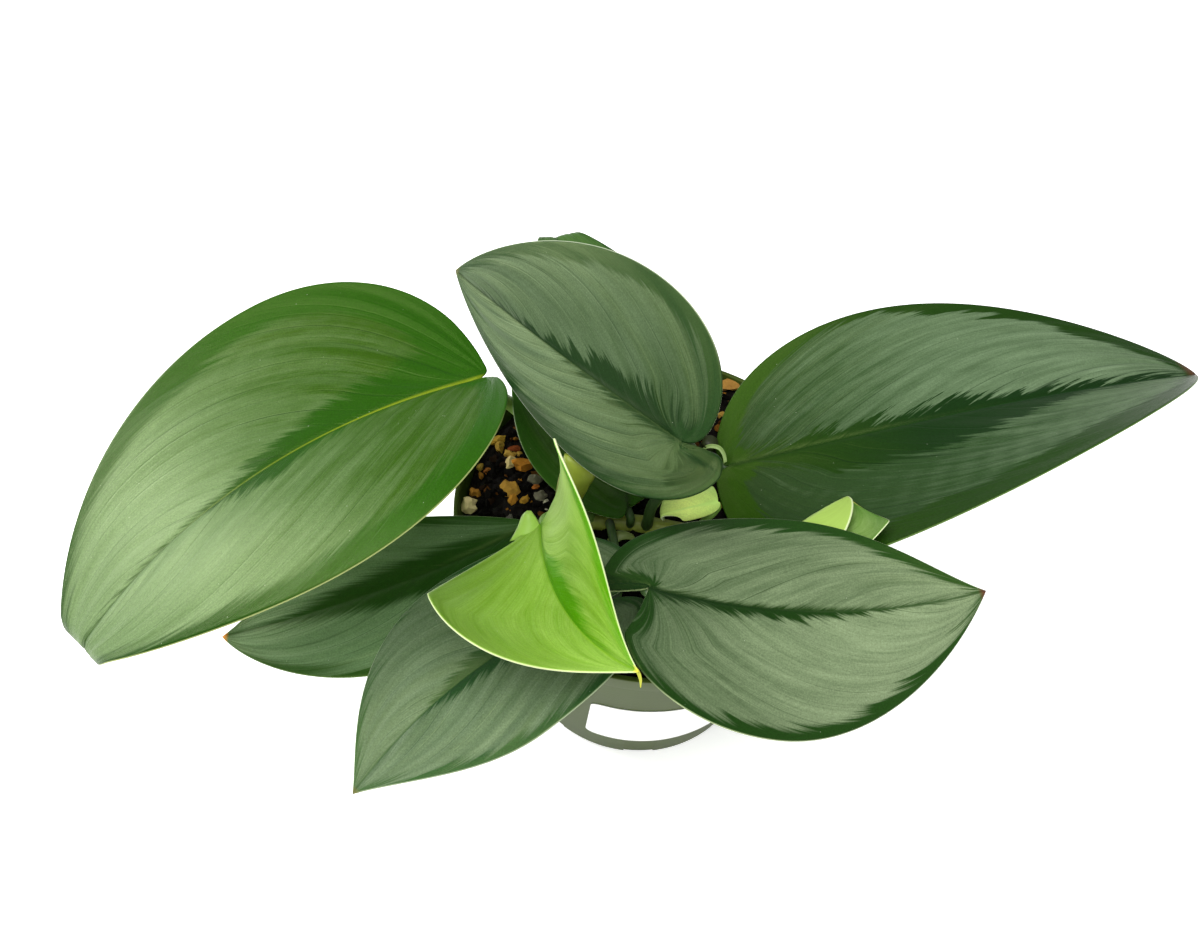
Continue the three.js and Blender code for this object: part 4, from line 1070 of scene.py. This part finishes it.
def ball():
    """A closed ball of 42 points and 80 faces: an icosahedron with each edge halved."""
    golden = (1 + math.sqrt(5)) / 2
    corner = np.array([(-1, golden, 0), (1, golden, 0), (-1, -golden, 0), (1, -golden, 0), (0, -1, golden),
                       (0, 1, golden), (0, -1, -golden), (0, 1, -golden), (golden, 0, -1), (golden, 0, 1),
                       (-golden, 0, -1), (-golden, 0, 1)], float)
    faces = np.array([(0, 11, 5), (0, 5, 1), (0, 1, 7), (0, 7, 10), (0, 10, 11), (1, 5, 9), (5, 11, 4),
                      (11, 10, 2), (10, 7, 6), (7, 1, 8), (3, 9, 4), (3, 4, 2), (3, 2, 6), (3, 6, 8),
                      (3, 8, 9), (4, 9, 5), (2, 4, 11), (6, 2, 10), (8, 6, 7), (9, 8, 1)])
    a, b, c = (corner[faces[:, k]] for k in range(3))
    ab, bc, ca = (a + b) / 2, (b + c) / 2, (c + a) / 2
    loose = np.stack([a, ab, ca, b, bc, ab, c, ca, bc, ab, bc, ca], 1).reshape(-1, 3)
    loose /= np.linalg.norm(loose, axis=1)[:, None]
    triangles = np.arange(len(loose)).reshape(-1, 3)
    return closed(loose, triangles)


def make_crumbs():
    """Bark, pumice and perlite on the peat: balls stretched, roughened, turned and strewn by a seeded
    rule, larger ones rarer."""
    random = np.random.default_rng(SOIL_SEED)
    points, triangles = ball()
    count = CRUMB_COUNT
    kinds = random.choice(len(CRUMB_KINDS), count, p=[kind[0] for kind in CRUMB_KINDS])
    larger = np.array([kind[2] for kind in CRUMB_KINDS])[kinds]
    flat = np.array([kind[3] for kind in CRUMB_KINDS])[kinds]
    size = (CRUMB_SMALLEST + (CRUMB_LARGEST - CRUMB_SMALLEST) * random.random(count) ** 3.2) * larger
    stretch = np.stack([1 + 0.5 * random.random(count), 0.75 + 0.3 * random.random(count), flat], 1)
    rough = 1 + 0.16 * random.normal(size=(count, len(points), 1))
    shapes = points[None] * rough * stretch[:, None] * size[:, None, None]
    tilt = turns("z", random.random(count) * 360) @ turns("x", random.normal(size=count) * 25)
    shapes = np.einsum("nij,nkj->nki", tilt, shapes)
    radius = (wall_radius(SOIL_EDGE) - POT_WALL - 2.5) * np.sqrt(random.random(count))
    angle = random.random(count) * 2 * math.pi
    height = soil_height(radius) + 0.25 * size * random.random(count)
    centres = np.stack([radius * np.cos(angle), radius * np.sin(angle), height], 1)
    colors = np.array([linear(kind[1])[:3] for kind in CRUMB_KINDS])[kinds]
    colors *= 0.75 + 0.5 * random.random((count, 1))
    chips = np.array([chip[:3] for chip in CHIPS])
    placed = count - np.arange(len(CHIPS)) - 1
    chip_height = soil_height(np.hypot(chips[:, 0], chips[:, 1])) + 0.35 * chips[:, 2]
    centres[placed] = np.stack([chips[:, 0], chips[:, 1], chip_height], 1)
    shapes[placed] *= (chips[:, 2] / size[placed])[:, None, None]
    colors[placed] = [linear(chip[3])[:3] for chip in CHIPS]
    shapes += centres[:, None]
    faces = (triangles[None] + len(points) * np.arange(count)[:, None, None]).reshape(-1, 3)
    tones = np.repeat(colors, len(points), 0)
    points = shapes.reshape(-1, 3)
    crumbs = mesh_object("bark_and_perlite", points, faces, [crumb_finish()], fields={"tone": tones})
    crumbs.data.set_sharp_from_angle(angle=CRUMB_SHARP * DEGREE)
    finished(crumbs, "potting_mix")


def make_stem(name, stem):
    """A stem: a tube with a low ring at each joint where a leaf sat."""
    path, run = smooth_path(stem["path"], STEM_STEPS)
    share = run / run[-1]
    radii = STEM_RADIUS * (1 + 0.03 * np.sin(share * 37))
    for joint in stem["joints"]:
        ring = JOINT_RING * np.exp(-((share - joint) / 0.008) ** 2)
        furrow = JOINT_FURROW * np.exp(-((share - joint - 0.02) / 0.012) ** 2)
        radii = radii + ring - furrow
    skin = stalk_skin(f"{name}_skin", *stem["colors"])
    piece = mesh_object(f"{name}_ringed", *closed(*tube(path, radii, STEM_SIDES)), [skin])
    finished(piece, "stem_green", name)


def make_sheath(name, sheath):
    """A small closed sheet: a smooth run of rows that bulges between its two edges and thins out to its
    whole border."""
    pairs = np.asarray(sheath["rows"], float)
    left, run = smooth_path(pairs[:, 0], SHEATH_STEPS)
    right, _ = smooth_path(pairs[:, 1], SHEATH_STEPS)
    across = np.linspace(0, 1, SHEATH_ACROSS + 1)
    flat = left[:, None] + (right - left)[:, None] * across[None, :, None]
    normal = np.cross(np.gradient(flat, axis=1), np.gradient(flat, axis=0))
    normal /= np.linalg.norm(normal, axis=-1)[..., None]
    ends = smooth_step(np.minimum(run, run[-1] - run) / 1.5)[:, None]
    arch = np.sin(math.pi * across)[None]
    middle = flat + (sheath["bulge"] * arch * ends)[..., None] * normal
    thin = (SHEATH_HALF * np.sqrt(np.clip(arch, 0, 1)) * np.sqrt(ends))[..., None] * normal
    count = middle.shape[0] * middle.shape[1]
    points = np.concatenate([(middle + thin).reshape(-1, 3), (middle - thin).reshape(-1, 3)])
    upper = grid_triangles(*middle.shape[:2])
    triangles = np.concatenate([upper, upper[:, ::-1] + count])
    piece = mesh_object(name, *closed(points, triangles), [stalk_skin(f"{name}_skin", *sheath["colors"])])
    finished(piece, "leaf_young")


def make_leaf(name, leaf, seed):
    """A leaf: its blade and its stalk in one piece, with its own palette."""
    palette = PALETTES[name]
    young = name.startswith("leaf_young")
    points, triangles, looks, fields = blade(leaf, 10.0 * seed)
    rod, rod_triangles = stalk(leaf)
    fields = {key: np.concatenate([values, np.zeros((len(rod), 3))]) for key, values in fields.items()}
    colors = STALK_COLORS.get(name, STALK_COLORS["young" if young else "grown"])
    skin = stalk_skin(f"{name}_stalk_skin", *colors)
    materials = [leaf_tissue(name, palette, young), leaf_underside(name, palette), skin]
    looks = np.concatenate([looks, np.full(len(rod_triangles), 2)])
    triangles = np.concatenate([triangles, rod_triangles + len(points)])
    points = np.concatenate([points, rod])
    piece = mesh_object(f"{name}_grown", points, triangles, materials, looks, fields)
    finished(piece, "leaf_young" if young else "leaf_green", name)


def make_floor():
    """A plain white sweep: a wide flat square."""
    material, tree = new_material("white_studio_floor")
    add_surface(tree, {"Base Color": (0.93, 0.93, 0.925, 1), "Roughness": 0.9, "Specular IOR Level": 0.1,
                       "Emission Color": (1, 1, 1, 1), "Emission Strength": FLOOR_GLOW})
    corners = np.array([(-1, -1), (1, -1), (1, 1), (-1, 1)]) * FLOOR_HALF
    points = np.column_stack([corners, np.full(4, -FLOOR_DROP)])
    floor = mesh_object("floor", points, np.array([(0, 1, 2), (0, 2, 3)]), [material])


def make_light(name, place, aim, size, power):
    """A square soft light at a place in millimetres, aimed at a point."""
    lamp = bpy.data.lights.new(name, "AREA")
    lamp.shape = "SQUARE"
    lamp.size = size * METRE
    lamp.energy = power
    place, aim = np.asarray(place, float), np.asarray(aim, float)
    away = (place - aim) / np.linalg.norm(place - aim)
    right = np.cross((0, 0, 1), away)
    right /= np.linalg.norm(right)
    add_object(name, lamp, [right, np.cross(away, right), away], place)


def make_camera():
    """The camera: down by its pitch, then rolled about its line of sight."""
    down, roll = CAMERA_DOWN * DEGREE, CAMERA_ROLL * DEGREE
    ahead = np.array([0, math.cos(down), -math.sin(down)])
    right = np.array([1.0, 0, 0])
    up = np.cross(right, ahead)
    cosine, sine = math.cos(roll), math.sin(roll)
    columns = [cosine * right + sine * up, cosine * up - sine * right, -ahead]
    data = bpy.data.cameras.new("camera")
    data.sensor_width = CAMERA_SENSOR
    data.lens = CAMERA_LENS
    data.clip_start = CAMERA_NEAREST
    bpy.context.scene.camera = add_object("camera", data, columns, CAMERA_PLACE)


def make_world():
    """Soft light from all round, brighter near the horizon than overhead."""
    world = bpy.data.worlds.new("studio")
    world.use_nodes = True
    tree = world.node_tree
    tree.nodes.clear()
    way = add_node(tree, "TexCoord", out="Generated")
    height = add_node(tree, "SeparateXYZ", {0: way}, out=2)
    level = add_node(tree, "MapRange", {0: height, 1: 0.05, 2: 0.6, 3: WORLD_LOW, 4: WORLD_HIGH})
    light = add_node(tree, "Background", {"Color": (1, 1, 1, 1), "Strength": level})
    add_node(tree, "OutputWorld", {"Surface": light})
    bpy.context.scene.world = world


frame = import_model()

make_camera()
make_world()
make_floor()
for light in LIGHTS:
    make_light(*light)
bpy.context.scene.view_settings.view_transform = "Standard"

make_pot()
make_label()
make_soil()
make_crumbs()
for stem_name, stem_shape in STEMS.items():
    make_stem(stem_name, stem_shape)
for number, (leaf_name, leaf_shape) in enumerate(LEAVES.items()):
    make_leaf(leaf_name, leaf_shape, number + 1)
for sheath_name, sheath_shape in SHEATHS.items():
    make_sheath(sheath_name, sheath_shape)
